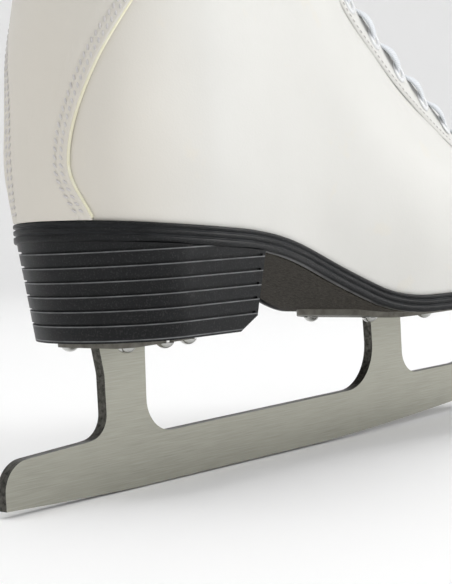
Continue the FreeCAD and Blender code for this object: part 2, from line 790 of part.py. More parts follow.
def thickened(grid, thick):
    """Closed padded sheet under a grid of outer points."""
    rows, columns = len(grid), len(grid[0])
    inner = []
    for i in range(rows):
        line = []
        for j in range(columns):
            along = grid[min(i + 1, rows - 1)][j] - grid[max(i - 1, 0)][j]
            side = grid[i][min(j + 1, columns - 1)] - grid[i][max(j - 1, 0)]
            line.append(grid[i][j] - side.cross(along).normalize() * thick)
        inner.append(line)
    return sheet_between(grid, inner)


TONGUE_TOP = 4.3


def above_fold(height):
    """Everything over a level set from the fold line."""
    return Part.makeBox(200, 200, 100, Vector(-100, -100, hinge_point().z + height))


def tongue_lower():
    """Padded tongue from under the vamp up to its fold line."""
    rows = [tongue_row(9.0, Vector(12, 0, -13), 0.75), tongue_row(9.0, Vector(0, 0, -5), 0.9),
            tongue_row(8.4, Vector(0, 0, -2), 0.97)]
    rows += [tongue_row(place) for place in (7.7, 7.0, 6.3, 5.6, 5.0)]
    rows.append(tongue_row(TONGUE_TOP, Vector(-0.5, 0, 0), 0.8))
    rows.append(tongue_row(TONGUE_TOP, Vector(-2, 0, 12), 0.76))
    rows.append(tongue_row(TONGUE_TOP, Vector(-2, 0, 26), 0.78))
    return thickened(rows, size("tongue_thick")).cut(above_fold(-size("fold_gap") / 2))


def tongue_flap():
    """Top of the tongue, above the laces, which folds forward."""
    long, across_it = size("flap_long"), 9
    corner = tongue_row(TONGUE_TOP, narrow=0.78)[0]
    front = hinge_point()
    rows = []
    for share, lean, narrow in ((-0.12, 0.2, 1.0), (0.3, -0.6, 0.98), (0.7, 1.2, 0.92), (1.0, 4.6, 0.76)):
        row = []
        for k in range(across_it):
            turn = math.pi / 2 * (2 * k / (across_it - 1) - 1)
            back = (front.x - corner.x) * 0.9 * (1 - math.cos(turn))
            drop = 7 * (1 - math.cos(turn)) * max(share, 0)
            row.append(Vector(front.x + lean - back, -abs(corner.y) * narrow * math.sin(-turn),
                              front.z + share * long - drop))
        rows.append(row)
    return thickened(rows, size("tongue_thick")).common(above_fold(size("fold_gap") / 2))


def hinge_point():
    """Front of the tongue at its fold line, where the flap turns."""
    row = tongue_row(TONGUE_TOP, Vector(-2, 0, 10 + size("hinge_rise")), 0.88)
    return row[len(row) // 2]


# ---------------------------------------------------------------- lace

def tube(points, width):
    """Round tube of straight runs joined by arcs as large as their runs allow."""
    edges = []
    start = points[0]
    for k in range(1, len(points) - 1):
        before, after = points[k - 1] - points[k], points[k + 1] - points[k]
        shorter = min(before.Length, after.Length)
        half = before.getAngle(after) / 2
        if math.pi / 2 - half < 0.01:
            continue
        cut = 0.45 * shorter
        radius = cut * math.tan(half)
        enter = points[k] + before.normalize() * cut
        leave = points[k] + after.normalize() * cut
        top = points[k] + (before + after).normalize() * (radius / math.sin(half) - radius)
        edges.append(Part.makeLine(start, enter))
        edges.append(Part.Arc(enter, top, leave).toShape())
        start = leave
    edges.append(Part.makeLine(start, points[-1]))
    path = Part.Wire(edges)
    first = (points[1] - points[0]).normalize()
    ring = Part.Wire(Part.makeCircle(width / 2, points[0], first))
    solid = path.makePipeShell([ring], True, False)
    share = solid.Volume / (math.pi * width ** 2 / 4 * path.Length)
    if abs(share - 1) > 0.03:
        raise RuntimeError("a lace run lost its section: %.3f" % share)
    return solid


def throat_spot(place, height):
    """Point over the middle of the tongue; height is measured from the facings' outside."""
    left, right = surface(place, 1.0), surface(other_side(place), 1.0)
    lean = outward(place, 1.0) + outward(other_side(place), 1.0)
    return (left + right) * 0.5 + Vector(lean.x, 0, lean.z).normalize() * height


def lace_half(inner_first):
    """Half the lace, from the middle of the bottom bar up the crossings to the bow."""
    over, under = size("overlay") + 2.3, -(size("leather") + size("lace_gap") / 2)
    raised = 2.4 if inner_first else 0.0

    def spot(place, level, inner, out):
        return offset_point(other_side(place) if inner else place, level, out)

    place, level = EYELET_SPOTS[0]
    inner = inner_first
    points = [throat_spot(place, over - 1.6), spot(place, 1.0, inner, over),
              spot(place, level, inner, over), spot(place, level, inner, under)]
    for (below, _), (place, level) in zip(EYELET_SPOTS, EYELET_SPOTS[1:]):
        quarter_way, most = below + 0.25 * (place - below), below + 0.75 * (place - below)
        if below == EYELET_SPOTS[0][0]:
            points.append(spot(quarter_way, 0.995, inner, under))
        else:
            points.append(spot(quarter_way, 1.0, inner, over))
        points.append(throat_spot((below + place) / 2, 0.2 + raised))
        inner = not inner
        points.append(spot(most, 0.995, inner, under))
        points.append(spot(place, level, inner, under))
        points.append(spot(place, level, inner, over))
    below = EYELET_SPOTS[-1][0]
    for place, level in HOOK_SPOTS:
        quarter_way = below + 0.3 * (place - below)
        points.append(spot(quarter_way, 1.0, inner, over + 0.6))
        points.append(throat_spot((below + place) / 2, 1.2 + raised))
        inner = not inner
        point, normal, edge, away = seat_frame(other_side(place) if inner else place, level)
        lift = normal * (size("overlay") + 3.4)
        for along, out in ((-6.5, -6.0), (-4.6, -1.2), (4.6, -1.2), (6.5, -6.0)):
            points.append(point + edge * along + away * out + lift)
        below = place
    points.append(knot_spot(0, size("knot_wide") / 2 * (1 if inner else -1), 0))
    return points


def knot_spot(out, across_it, down):
    """Point near the bow's knot: away from the shin, to the side, and down along the lacing."""
    place = HOOK_SPOTS[-1][0] - 0.12
    knot = throat_spot(place, 5.2)
    lean = outward(place, 1.0) + outward(other_side(place), 1.0)
    lean = Vector(lean.x, 0, lean.z).normalize()
    falling = Vector(lean.z, 0, -lean.x)
    return knot + lean * out + Vector(0, across_it, 0) + falling * down


def lace_knot():
    """Knot of the bow: the two ends wrapped once round each other and pulled tight."""
    wide = size("knot_wide")
    barrel = Part.makeCylinder(0.4 * wide, wide, knot_spot(0, -wide / 2, 0), Vector(0, 1, 0))
    return barrel.makeFillet(0.16 * wide, [barrel.Edges[0], barrel.Edges[2]])


def bow_loop(side):
    """One loop of the bow, hanging over the top hooks."""
    spots = [(0, 4, 0), (5, 12, -5), (8.5, 22, -4), (9, 31, 3), (8, 34, 13), (7.5, 29, 22),
             (8.5, 19, 22), (7, 11, 14), (2, 4.2, 4)]
    return [knot_spot(out, side * y, down) for out, y, down in spots]


def lace_end(side):
    """Free end of the lace, lying down over the crossings; its last run carries the tip."""
    spots = [(0.5, 2.6, 3.4), (4.2, 5, 12), (4.6, 8, 26), (4.6, 9, 42), (5.6, 13, 56)]
    return [knot_spot(out, side * y, down) for out, y, down in spots]


def lace_tips():
    """Clear plastic tips crimped on the two ends."""
    solids = []
    for side in (-1, 1):
        before, end = lace_end(side)[-2:]
        solids.append(Part.makeCylinder(size("lace_wide") / 2 + 0.1, size("tip_long"), end,
                                        end - before))
    return Part.makeCompound(solids)


doc.recompute()
blade_runner()
heel_plate()
sole_plate()
screws(heel_screw_spots(), "heel_screws", heel_plate_underside, size("heel_screw_long"))
screws(sole_screw_spots(), "sole_screws", plate_underside, size("sole_screw_long"))
heel_block()
outsole_welt()
sole_board()
insole_parts()
keep_shape(shank_space(0), "shank")
heel_nails()

for label, shape in side_panels("quarter_%s", 0, size("leather")):
    keep_shape(drill(shape, label.endswith("inner")), label)
for label, shape in side_panels("lining_%s", -INSIDE, size("lining"), lining_top):
    keep_shape(shape, label)
keep_shape(vamp_sheet(0, size("leather")), "vamp")
keep_shape(vamp_sheet(-INSIDE, size("lining"), top=6), "vamp_lining")
keep_shape(backstay_panel(), "backstay")
keep_shape(panel(across(-2.6, 2.6, 0.03, 0.42), 20, 6, -MIDDLE, size("stiffener")), "heel_stiffener")
keep_shape(vamp_sheet(-MIDDLE, size("stiffener"), trim=4, top=4), "toe_puff")
keep_shape(panel(across(-3.6, 3.6, 0.72, 0.975), 28, 4, -MIDDLE - 0.1, size("stiffener") - 0.4),
           "collar_foam")
for side, inner in (("outer", False), ("inner", True)):
    band = panel(eyestay_map(inner), 24, 6, size("overlay") + size("glue"), size("overlay"))
    keep_shape(drill(band, inner), "eyestay_" + side)
    keep_shape(on_facing(eyelet(), EYELET_SPOTS, inner), "eyelets_" + side)
    keep_shape(on_facing(hook(), HOOK_SPOTS, inner), "hooks_" + side)
keep_shape(collar_roll(), "collar_roll")
keep_shape(tongue_lower(), "tongue")
keep_shape(tongue_flap(), "tongue_flap")
for side, inner in (("outer", False), ("inner", True)):
    keep_shape(tube(lace_half(inner), size("lace_wide")), "lace_" + side)
keep_shape(lace_knot(), "lace_knot")
for label, route in (("lace_bow", bow_loop), ("lace_ends", lace_end)):
    keep_shape(Part.makeCompound([tube(route(side), size("lace_wide")) for side in (-1, 1)]), label)
keep_shape(lace_tips(), "lace_tips")

doc.recompute()
for item in doc.Objects:
    if "Invalid" in item.State or "Error" in item.State:
        raise RuntimeError("%s did not build: %s" % (item.Label, item.State))
os.makedirs("parts", exist_ok=True)
for feature in finished:
    if feature.Shape.isNull() or not feature.Shape.isValid():
        raise RuntimeError(feature.Label + ": bad shape")
    feature.Shape.exportStep("parts/%s.step" % feature.Label)
    print("%-18s %3d solid  %9.0f mm3" % (feature.Label, len(feature.Shape.Solids), feature.Shape.Volume))
hinge = hinge_point()
print("tongue fold line at x %.2f z %.2f" % (hinge.x, hinge.z))
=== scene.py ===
import json
import math

import bpy
import numpy as np
from mathutils import Matrix, Vector


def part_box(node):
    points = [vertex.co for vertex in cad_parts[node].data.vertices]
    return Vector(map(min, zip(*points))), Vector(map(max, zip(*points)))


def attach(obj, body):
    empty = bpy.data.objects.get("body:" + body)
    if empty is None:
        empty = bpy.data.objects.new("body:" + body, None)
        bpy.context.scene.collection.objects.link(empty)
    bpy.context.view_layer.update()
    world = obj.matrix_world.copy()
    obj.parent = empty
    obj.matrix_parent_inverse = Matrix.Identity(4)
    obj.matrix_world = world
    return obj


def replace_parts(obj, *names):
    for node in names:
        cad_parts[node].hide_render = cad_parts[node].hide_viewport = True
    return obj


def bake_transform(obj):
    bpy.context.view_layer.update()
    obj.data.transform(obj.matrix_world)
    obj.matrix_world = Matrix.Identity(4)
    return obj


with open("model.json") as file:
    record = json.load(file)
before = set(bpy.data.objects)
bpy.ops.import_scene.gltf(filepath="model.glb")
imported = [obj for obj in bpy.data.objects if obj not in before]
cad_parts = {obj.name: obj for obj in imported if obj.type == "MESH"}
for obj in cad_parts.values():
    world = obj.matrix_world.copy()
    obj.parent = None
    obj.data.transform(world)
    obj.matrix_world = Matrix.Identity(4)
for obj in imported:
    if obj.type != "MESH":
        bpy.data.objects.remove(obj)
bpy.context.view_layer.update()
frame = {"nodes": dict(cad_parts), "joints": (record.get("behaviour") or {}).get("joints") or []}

scene = bpy.context.scene
scene.view_settings.view_transform = "Standard"
node = frame["nodes"]
MM = 0.001

# ---------------------------------------------------------------- camera
# Low three-quarter view of the outer side from behind the heel, a little rolled to the left.
camera_at = Vector((-384.31, -349.08, 86.79)) * MM
yaw, pitch, roll = 0.84583, 0.04924, -0.05175
ahead = Vector((math.sin(yaw) * math.cos(pitch), math.cos(yaw) * math.cos(pitch), -math.sin(pitch)))
level_right = Vector((math.cos(yaw), -math.sin(yaw), 0))
level_up = level_right.cross(ahead)
right = level_right * math.cos(roll) + level_up * math.sin(roll)
up = level_up * math.cos(roll) - level_right * math.sin(roll)
lens = bpy.data.cameras.new("camera")
lens.sensor_width = 36
lens.lens = 36 * 1500 / 584
lens.clip_start, lens.clip_end = 0.02, 20
camera = bpy.data.objects.new("camera", lens)
camera.matrix_world = Matrix((
    (right.x, up.x, -ahead.x, camera_at.x), (right.y, up.y, -ahead.y, camera_at.y),
    (right.z, up.z, -ahead.z, camera_at.z), (0, 0, 0, 1)))
scene.collection.objects.link(camera)
scene.camera = camera


# ---------------------------------------------------------------- studio
# Pale seamless paper: a floor that curves up into a wall all the way round, lit by three large
# soft boxes.  The key stands in front of the toe on the outer side, so the heel's back falls dark.
def add(tree, kind, links=None, **settings):
    """A shader node; settings set its properties, or its sockets by name or number."""
    made = tree.nodes.new(kind)
    for name, value in settings.items():
        if hasattr(made, name):
            setattr(made, name, value)
        else:
            made.inputs[name.replace("_", " ")].default_value = value
    for socket, source in (links or {}).items():
        tree.links.new(source, made.inputs[socket])
    return made


def finish_of(name, **sockets):
    """A material with its Principled shader; constants are set on the shader's own sockets."""
    material = bpy.data.materials.new(name)
    material.use_nodes = True
    tree = material.node_tree
    shader = tree.nodes["Principled BSDF"]
    for socket, value in sockets.items():
        shader.inputs[socket.replace("_", " ")].default_value = value
    return material, tree, shader


def emboss(tree, shader, height, strength, distance):
    """Surface relief of a real depth in metres."""
    bump = add(tree, "ShaderNodeBump", {"Height": height}, Strength=strength, Distance=distance)
    tree.links.new(bump.outputs["Normal"], shader.inputs["Normal"])


def mesh_object(name, points, faces, smooth=True):
    mesh = bpy.data.meshes.new(name)
    mesh.from_pydata([tuple(p) for p in points], [], faces)
    mesh.validate()
    if smooth:
        mesh.shade_smooth()
    made = bpy.data.objects.new(name, mesh)
    scene.collection.objects.link(made)
    return made


def ring_faces(first, rings, ring):
    """Quads between rings of points, the first of which starts at index first."""
    faces = []
    for i in range(rings - 1):
        for k in range(ring):
            a, b = first + i * ring + k, first + i * ring + (k + 1) % ring
            faces.append((a, b, b + ring, a + ring))
    return faces


def tube_faces(first, rings, ring):
    """The same with both ends closed."""
    last = first + (rings - 1) * ring
    return ring_faces(first, rings, ring) + [tuple(range(first + ring - 1, first - 1, -1)),
                                             tuple(range(last, last + ring))]


paper_reach, paper_curve = 2.6, 0.9
profile = [(0.0, 0.0), (paper_reach - paper_curve, 0.0)]
for k in range(1, 13):
    turn = math.pi / 2 * k / 12
    profile.append((paper_reach - paper_curve + paper_curve * math.sin(turn),
                    paper_curve * (1 - math.cos(turn))))
profile.append((paper_reach, 4.0))
sides = 64
points = []
for radius, height in profile:
    for k in range(sides):
        turn = 2 * math.pi * k / sides
        points.append((radius * math.cos(turn), radius * math.sin(turn), height))
paper = mesh_object("paper_backdrop", points, ring_faces(0, len(profile), sides))
paper_white, tree, shader = finish_of("paper_white", Roughness=0.9, Specular_IOR_Level=0.1,
                                      Base_Color=(0.93, 0.93, 0.93, 1))
fibre = add(tree, "ShaderNodeTexNoise", Scale=260.0, Detail=3.0)
emboss(tree, shader, fibre.outputs["Fac"], 0.03, 0.001)
paper.data.materials.append(paper_white)

world = bpy.data.worlds.new("studio")
scene.world = world
world.use_nodes = True
world.node_tree.nodes["Background"].inputs["Color"].default_value = (1.0, 1.0, 1.0, 1)
world.node_tree.nodes["Background"].inputs["Strength"].default_value = 0.42
for name, place, width, watts in (
        ("key_soft_box", (1.25, -1.3, 0.85), 1.1, 19),
        ("fill_soft_box", (-1.5, -0.6, 0.9), 1.2, 3),
        ("top_soft_box", (0.1, 0.3, 2.1), 1.6, 19)):
    lamp = bpy.data.lights.new(name, "AREA")
    lamp.shape, lamp.size, lamp.energy = "SQUARE", width, watts
    holder = bpy.data.objects.new(name, lamp)
    holder.location = place
    aim = Vector((0.04, 0, 0.12)) - Vector(place)
    holder.rotation_euler = aim.to_track_quat("-Z", "Y").to_euler()
    scene.collection.objects.link(holder)


# ---------------------------------------------------------------- blade
# Stamped from one strip of stainless steel and ground satin on both sides; the stamped rim stays
# dark and rough, and the grinding of the running edge leaves a faint brighter band.
def noise_group():
    """Two layers of noise at a real size in millimetres, put out as a 0..1 value."""
    group = bpy.data.node_groups.new("mottle", "ShaderNodeTree")
    group.interface.new_socket("Size mm", in_out="INPUT", socket_type="NodeSocketFloat")
    group.interface.new_socket("Contrast", in_out="INPUT", socket_type="NodeSocketFloat")
    group.interface.new_socket("Value", in_out="OUTPUT", socket_type="NodeSocketFloat")
    entry, leave = group.nodes.new("NodeGroupInput"), group.nodes.new("NodeGroupOutput")
    place = add(group, "ShaderNodeTexCoord")
    scale = add(group, "ShaderNodeMath", {1: entry.outputs["Size mm"]}, operation="DIVIDE")
    scale.inputs[0].default_value = 1000.0
    noise = add(group, "ShaderNodeTexNoise", {"Vector": place.outputs["Object"],
                                              "Scale": scale.outputs[0]}, Detail=5.0, Roughness=0.6)
    centred = add(group, "ShaderNodeMath", {0: noise.outputs["Fac"]}, operation="SUBTRACT")
    centred.inputs[1].default_value = 0.5
    spread = add(group, "ShaderNodeMath", {0: centred.outputs[0], 1: entry.outputs["Contrast"]},
                 operation="MULTIPLY_ADD", use_clamp=True)
    spread.inputs[2].default_value = 0.5
    group.links.new(spread.outputs[0], leave.inputs["Value"])
    return group


MOTTLE = noise_group()


def mottle(tree, size_mm, contrast):
    made = add(tree, "ShaderNodeGroup", node_tree=MOTTLE)
    made.inputs["Size mm"].default_value = size_mm
    made.inputs["Contrast"].default_value = contrast
    return made.outputs["Value"]


def blend_colour(tree, factor, first, second):
    """Mix of two colours by a value that varies over the surface."""
    mix = add(tree, "ShaderNodeMix", {"Factor": factor}, data_type="RGBA")
    for slot, colour in ((6, first), (7, second)):
        if isinstance(colour, tuple):
            mix.inputs[slot].default_value = (*colour, 1)
        else:
            tree.links.new(colour, mix.inputs[slot])
    return mix.outputs[2]


def ramp(tree, factor, low, high, start=0.0, end=1.0):
    """Value moved from the range low..high to start..end, clamped."""
    made = add(tree, "ShaderNodeMapRange", {"Value": factor})
    for name, value in (("From Min", low), ("From Max", high), ("To Min", start), ("To Max", end)):
        made.inputs[name].default_value = value
    return made.outputs["Result"]


def paint(tree, shader, factor, first, second):
    """Base colour between two tones."""
    tree.links.new(blend_colour(tree, factor, first, second), shader.inputs["Base Color"])


def polish(tree, shader, factor, low, high, start=0.0, end=1.0):
    """Roughness from start to end as the value goes from low to high."""
    tree.links.new(ramp(tree, factor, low, high, start, end), shader.inputs["Roughness"])


def bevelled(piece, width_mm, segments=2, angle=35):
    """Softens a part's hard edges so that they catch the light."""
    edge = piece.modifiers.new("eased_edges", "BEVEL")
    edge.width, edge.segments = width_mm * MM, segments
    edge.limit_method, edge.angle_limit = "ANGLE", math.radians(angle)
    edge.harden_normals = False
    return edge


def dress(name, material):
    """Gives a CAD node its finish."""
    for held in node[name].material_slots:
        held.material = material
    if not node[name].material_slots:
        node[name].data.materials.append(material)


satin_steel, tree, shader = finish_of("satin_ground_steel", Metallic=1.0, Anisotropic=0.5)
place = add(tree, "ShaderNodeTexCoord")
stretch = add(tree, "ShaderNodeMapping", {"Vector": place.outputs["Object"]})
stretch.inputs["Scale"].default_value = (90.0, 900.0, 4200.0)
scratches = add(tree, "ShaderNodeTexNoise", {"Vector": stretch.outputs["Vector"]}, Scale=1.0,
                Detail=4.0)
cloudy = mottle(tree, 26.0, 1.3)
face_tone = blend_colour(tree, cloudy, (0.285, 0.283, 0.24), (0.37, 0.368, 0.316))
streaked = blend_colour(tree, ramp(tree, scratches.outputs["Fac"], 0.35, 0.7), face_tone,
                        (0.40, 0.395, 0.345))
facing = add(tree, "ShaderNodeNewGeometry")
split = add(tree, "ShaderNodeSeparateXYZ", {"Vector": facing.outputs["True Normal"]})
sideways = add(tree, "ShaderNodeMath", {0: split.outputs["Y"]}, operation="ABSOLUTE")
on_rim = ramp(tree, sideways.outputs[0], 0.55, 0.85, 1.0, 0.0)
rim_tone = blend_colour(tree, mottle(tree, 1.4, 2.2), (0.018, 0.018, 0.016), (0.13, 0.125, 0.11))
steel_tone = blend_colour(tree, on_rim, streaked, rim_tone)
tree.links.new(steel_tone, shader.inputs["Base Color"])
polish(tree, shader, scratches.outputs["Fac"], 0.2, 0.8, 0.33, 0.47)
emboss(tree, shader, scratches.outputs["Fac"], 0.06, 0.0002)
dress("blade_runner", satin_steel)
bevelled(node["blade_runner"], 0.25)


# ---------------------------------------------------------------- plates
# Pressed mild-steel plates, brazed on the posts and dull plated; the cut edges are rough and brown.
pressed_steel, tree, shader = finish_of("pressed_steel", Metallic=0.85)
blotch = mottle(tree, 3.5, 2.0)
paint(tree, shader, blotch, (0.10, 0.095, 0.08), (0.26, 0.25, 0.22))
polish(tree, shader, blotch, 0.0, 1.0, 0.38, 0.62)
emboss(tree, shader, mottle(tree, 0.9, 1.6), 0.35, 0.0003)
for name in ("heel_plate", "sole_plate", "shank"):
    dress(name, pressed_steel)
for name in ("heel_plate", "sole_plate"):
    bevelled(node[name], 0.35)


# ---------------------------------------------------------------- screws
# Bright plated round-head screws that hold the plates; nails inside the heel share the finish.
bright_plate, tree, shader = finish_of("bright_zinc_plate", Metallic=1.0, Roughness=0.18)
paint(tree, shader, mottle(tree, 2.0, 1.5), (0.55, 0.55, 0.53), (0.80, 0.80, 0.78))
for name in ("heel_screws", "sole_screws", "heel_nails"):
    dress(name, bright_plate)


# ---------------------------------------------------------------- heel block
# Moulded black heel with six grooves; a light grey highlight is painted along the grooves' lower
# lips, and the sides have a soft sheen, a little dust and a few light scratches.
heel_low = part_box("heel_block")[0]
groove_pitch, groove_rise = 4.6 * MM, 1.32 * MM


def moulded_black(name):
    """Black moulding compound: near-black, satin, with fine dust and faint scratches."""
    material, tree, shader = finish_of(name, Specular_IOR_Level=0.22)
    dust = mottle(tree, 9.0, 2.0)
    specks = mottle(tree, 0.5, 6.0)
    tone = blend_colour(tree, dust, (0.0028, 0.0031, 0.0036), (0.0056, 0.0064, 0.0074))
    tone = blend_colour(tree, ramp(tree, specks, 0.97, 1.0, 0.0, 0.25), tone, (0.07, 0.07, 0.07))
    emboss(tree, shader, mottle(tree, 0.7, 1.0), 0.05, 0.0002)
    polish(tree, shader, dust, 0.0, 1.0, 0.34, 0.50)
    return material, tree, shader, tone


heel_black, tree, shader, tone = moulded_black("heel_black")
place = add(tree, "ShaderNodeTexCoord")
split = add(tree, "ShaderNodeSeparateXYZ", {"Vector": place.outputs["Object"]})
height = add(tree, "ShaderNodeMath", {0: split.outputs["Z"]}, operation="SUBTRACT")
height.inputs[1].default_value = heel_low.z + groove_rise - 0.5 * groove_pitch
turns = add(tree, "ShaderNodeMath", {0: height.outputs[0]}, operation="DIVIDE")
turns.inputs[1].default_value = groove_pitch
within = add(tree, "ShaderNodeMath", {0: turns.outputs[0]}, operation="FRACT")
off_line = add(tree, "ShaderNodeMath", {0: within.outputs[0]}, operation="SUBTRACT")
off_line.inputs[1].default_value = 0.5
below = add(tree, "ShaderNodeMath", {0: off_line.outputs[0]}, operation="ADD")
below.inputs[1].default_value = 0.125
lip = add(tree, "ShaderNodeMath", {0: below.outputs[0]}, operation="ABSOLUTE")
# Painted highlight: a patchy light grey line along each groove's lower lip, where the lip would catch
# the light.
in_groove = ramp(tree, lip.outputs[0], 0.022, 0.05, 1.0, 0.0)
highlight_patchiness = ramp(tree, mottle(tree, 6.0, 2.2), 0.1, 0.9, 0.45, 1.0)
painted_groove_highlight = add(tree, "ShaderNodeMath", {0: in_groove, 1: highlight_patchiness}, operation="MULTIPLY")
groove_highlighted_tone = blend_colour(tree, painted_groove_highlight.outputs[0], tone, (0.20, 0.205, 0.21))
tree.links.new(groove_highlighted_tone, shader.inputs["Base Color"])
dress("heel_block", heel_black)
bevelled(node["heel_block"], 0.25)


# ---------------------------------------------------------------- sole board
# Dark leather-fibre board let into the underside; its surface is dull, flecked and brushed.
fibre_board, tree, shader = finish_of("fibre_board", Roughness=0.88, Specular_IOR_Level=0.2)
fleck = mottle(tree, 1.1, 3.0)
paint(tree, shader, fleck, (0.034, 0.030, 0.024), (0.085, 0.076, 0.064))
emboss(tree, shader, fleck, 0.6, 0.0004)
for name in ("sole_board", "insole_board"):
    dress(name, fibre_board)

# ---------------------------------------------------------------- the last
# The boot is pulled over a last: eleven stations from the back of the heel round the side to the
# tip of the toe, each with five levels (x, half width, z) from the welt up to the collar or facing.
# Stations six to nine stand wider and lower at the facing than the plain collision solids do.
STATIONS = np.array([
    [(-73.8, 0, 88.3), (-77, 0, 107), (-72.5, 0, 136), (-66, 0, 178), (-71, 0, 222)],
    [(-64.4, 23, 87.8), (-67, 24.7, 107), (-63.5, 24, 136), (-57, 22.5, 178), (-61, 24.5, 223)],
    [(-36, 32.6, 85.3), (-36, 35, 106), (-34, 34, 136), (-30, 32, 180), (-27, 34, 227)],
    [(-2, 31.5, 79.9), (-2, 35, 103), (-1, 35, 136), (2, 33.5, 181), (4, 32, 234)],
    [(30, 25.5, 71.2), (29, 32, 97), (28, 35, 133), (27, 32, 182), (22, 22, 240)],
    [(60, 27.5, 59.6), (59, 34, 84), (56, 35, 114), (49, 30, 150), (37, 20, 190)],
    [(90, 34.5, 54.3), (89, 39, 74), (84, 38, 99), (75, 29.5, 129.5), (62, 22, 160.5)],
    [(119, 38.5, 54.3), (119, 41.5, 71), (115, 39.5, 91), (106, 28, 114), (92, 23, 135.5)],
    [(147, 36, 54.3), (148, 39.5, 67), (146, 37, 83), (136, 25.5, 101), (118, 20.5, 119.5)],
    [(172, 25.5, 54.3), (174, 28.5, 64), (171, 26.5, 77), (158, 19, 95), (136, 13.5, 108.5)],
    [(189, 0, 55.4), (191, 0, 64), (187, 0, 77), (171, 0, 95), (144, 0, 106.5)]], float)
SWING = np.array([0, 0, 0, -1.2, -3.5, -3.2, -2, -1.5, 0, 2, 3])
TOE, LEVELS, SEATED = 10, 4, 0.3
SOLE_CORNERS = [(-80, 82.9, 0), (5.2, 74.5, 177), (69.9, 48, 81), (186, 48, 60), (196, 49.4, 0)]
WELT_THICK, LEDGE, LEATHER, OVERLAY = 6.3, 1.2, 1.6, 1.2
THROAT = 8.6


def sole_curve():
    """Side-view line of the sole's underside, sampled with its normals."""
    line = [np.array(SOLE_CORNERS[0][:2], float)]
    for before, corner, after in zip(SOLE_CORNERS, SOLE_CORNERS[1:], SOLE_CORNERS[2:]):
        here = np.array(corner[:2], float)
        back = np.array(before[:2]) - here
        on = np.array(after[:2]) - here
        back, on = back / np.linalg.norm(back), on / np.linalg.norm(on)
        half = math.acos(np.dot(back, on)) / 2
        centre = here + (back + on) / np.linalg.norm(back + on) * corner[2] / math.sin(half)
        reach = corner[2] / math.tan(half)
        start, end = here + back * reach, here + on * reach
        for share in np.linspace(0, 1, 25):
            chord = start + (end - start) * share - centre
            line.append(centre + chord / np.linalg.norm(chord) * corner[2])
    line.append(np.array(SOLE_CORNERS[-1][:2], float))
    line = np.array(line)
    run = np.gradient(line, axis=0)
    run /= np.linalg.norm(run, axis=1)[:, None]
    return line, np.stack([-run[:, 1], run[:, 0]], 1)


SOLE, SOLE_NORMAL = sole_curve()


def sole_height(x, rise):
    """Height of the line that runs a distance above the sole's underside."""
    line = SOLE + SOLE_NORMAL * rise
    return np.interp(x, line[:, 0], line[:, 1])


def bend_through(rows, f):
    """Catmull-Rom blend of four rows at a fraction f between the middle two."""
    p0, p1, p2, p3 = rows
    return p1 + 0.5 * f * (p2 - p0 + f * (2 * p0 - 5 * p1 + 4 * p2 - p3
                                          + f * (3 * (p1 - p2) + p3 - p0)))


def ring_station(k):
    """Stations by index round the whole foot; the inner side mirrors the outer."""
    k = np.mod(k, 2 * TOE)
    side = np.where(k <= TOE, -1.0, 1.0)
    k = np.where(k <= TOE, k, 2 * TOE - k)
    row = STATIONS[k].copy()
    fade = 1 - np.arange(LEVELS + 1) / LEVELS
    row[..., 1] = side[..., None] * row[..., 1] + SWING[k][..., None] * fade
    return row


def last_point(place, level):
    """Points on the last in millimetres: place 0..20 round the foot, level 0..1 up it."""
    place, level = np.broadcast_arrays(np.asarray(place, float), np.asarray(level, float))
    base = np.floor(place).astype(int)
    f = (place - base)[..., None]
    climb = level * LEVELS
    k = np.clip(np.floor(climb).astype(int), 0, LEVELS - 1)
    g = (climb - k)[..., None]
    columns, feet = [], []
    for step in (-1, 0, 1, 2):
        row = ring_station(base + step)

        def at(index):
            return np.take_along_axis(row, index[..., None, None].repeat(3, -1), -2)[..., 0, :]
        p1, p2 = at(k), at(k + 1)
        p0 = np.where((k > 0)[..., None], at(np.maximum(k - 1, 0)), 2 * p1 - p2)
        p3 = np.where((k + 2 <= LEVELS)[..., None], at(np.minimum(k + 2, LEVELS)), 2 * p2 - p1)
        columns.append(bend_through((p0, p1, p2, p3), g))
        feet.append(row[..., 0, :])
    point = bend_through(columns, f)
    foot = bend_through(feet, f)
    drawn = np.clip(1 - level / SEATED, 0, 1) ** 2
    point[..., 2] += (sole_height(foot[..., 0], WELT_THICK) - foot[..., 2]) * drawn
    return point


def last_normal(place, level):
    level = np.asarray(level, float)
    along = last_point(place + 0.05, level) - last_point(place - 0.05, level)
    rise = (last_point(place, np.minimum(level + 0.02, 1))
            - last_point(place, np.maximum(level - 0.02, 0)))
    normal = np.cross(along, rise)
    return normal / np.linalg.norm(normal, axis=-1, keepdims=True)


def on_last(place, level, out):
    place = np.asarray(place, float)
    return last_point(place, level) + last_normal(place, level) * np.asarray(out)[..., None]


def vamp_seam(level):
    return 8.0 + (THROAT - 8.0) * level


def mirrored(place):
    return 2 * TOE - place


def inset_level(place, distance):
    """Level that lies a distance below the facing's edge, measured along the leather."""
    levels = np.linspace(1, 0, 401)
    line = last_point(np.full(401, place), levels)
    gone = np.concatenate([[0], np.cumsum(np.linalg.norm(np.diff(line, axis=0), axis=1))])
    return float(np.interp(distance, gone, levels))


def facing_place(distance):
    """Place on the outer facing that lies a distance up its edge from the throat."""
    places = np.linspace(THROAT, 3.0, 561)
    line = last_point(places, 1.0)
    gone = np.concatenate([[0], np.cumsum(np.linalg.norm(np.diff(line, axis=0), axis=1))])
    return float(np.interp(distance, gone, places))
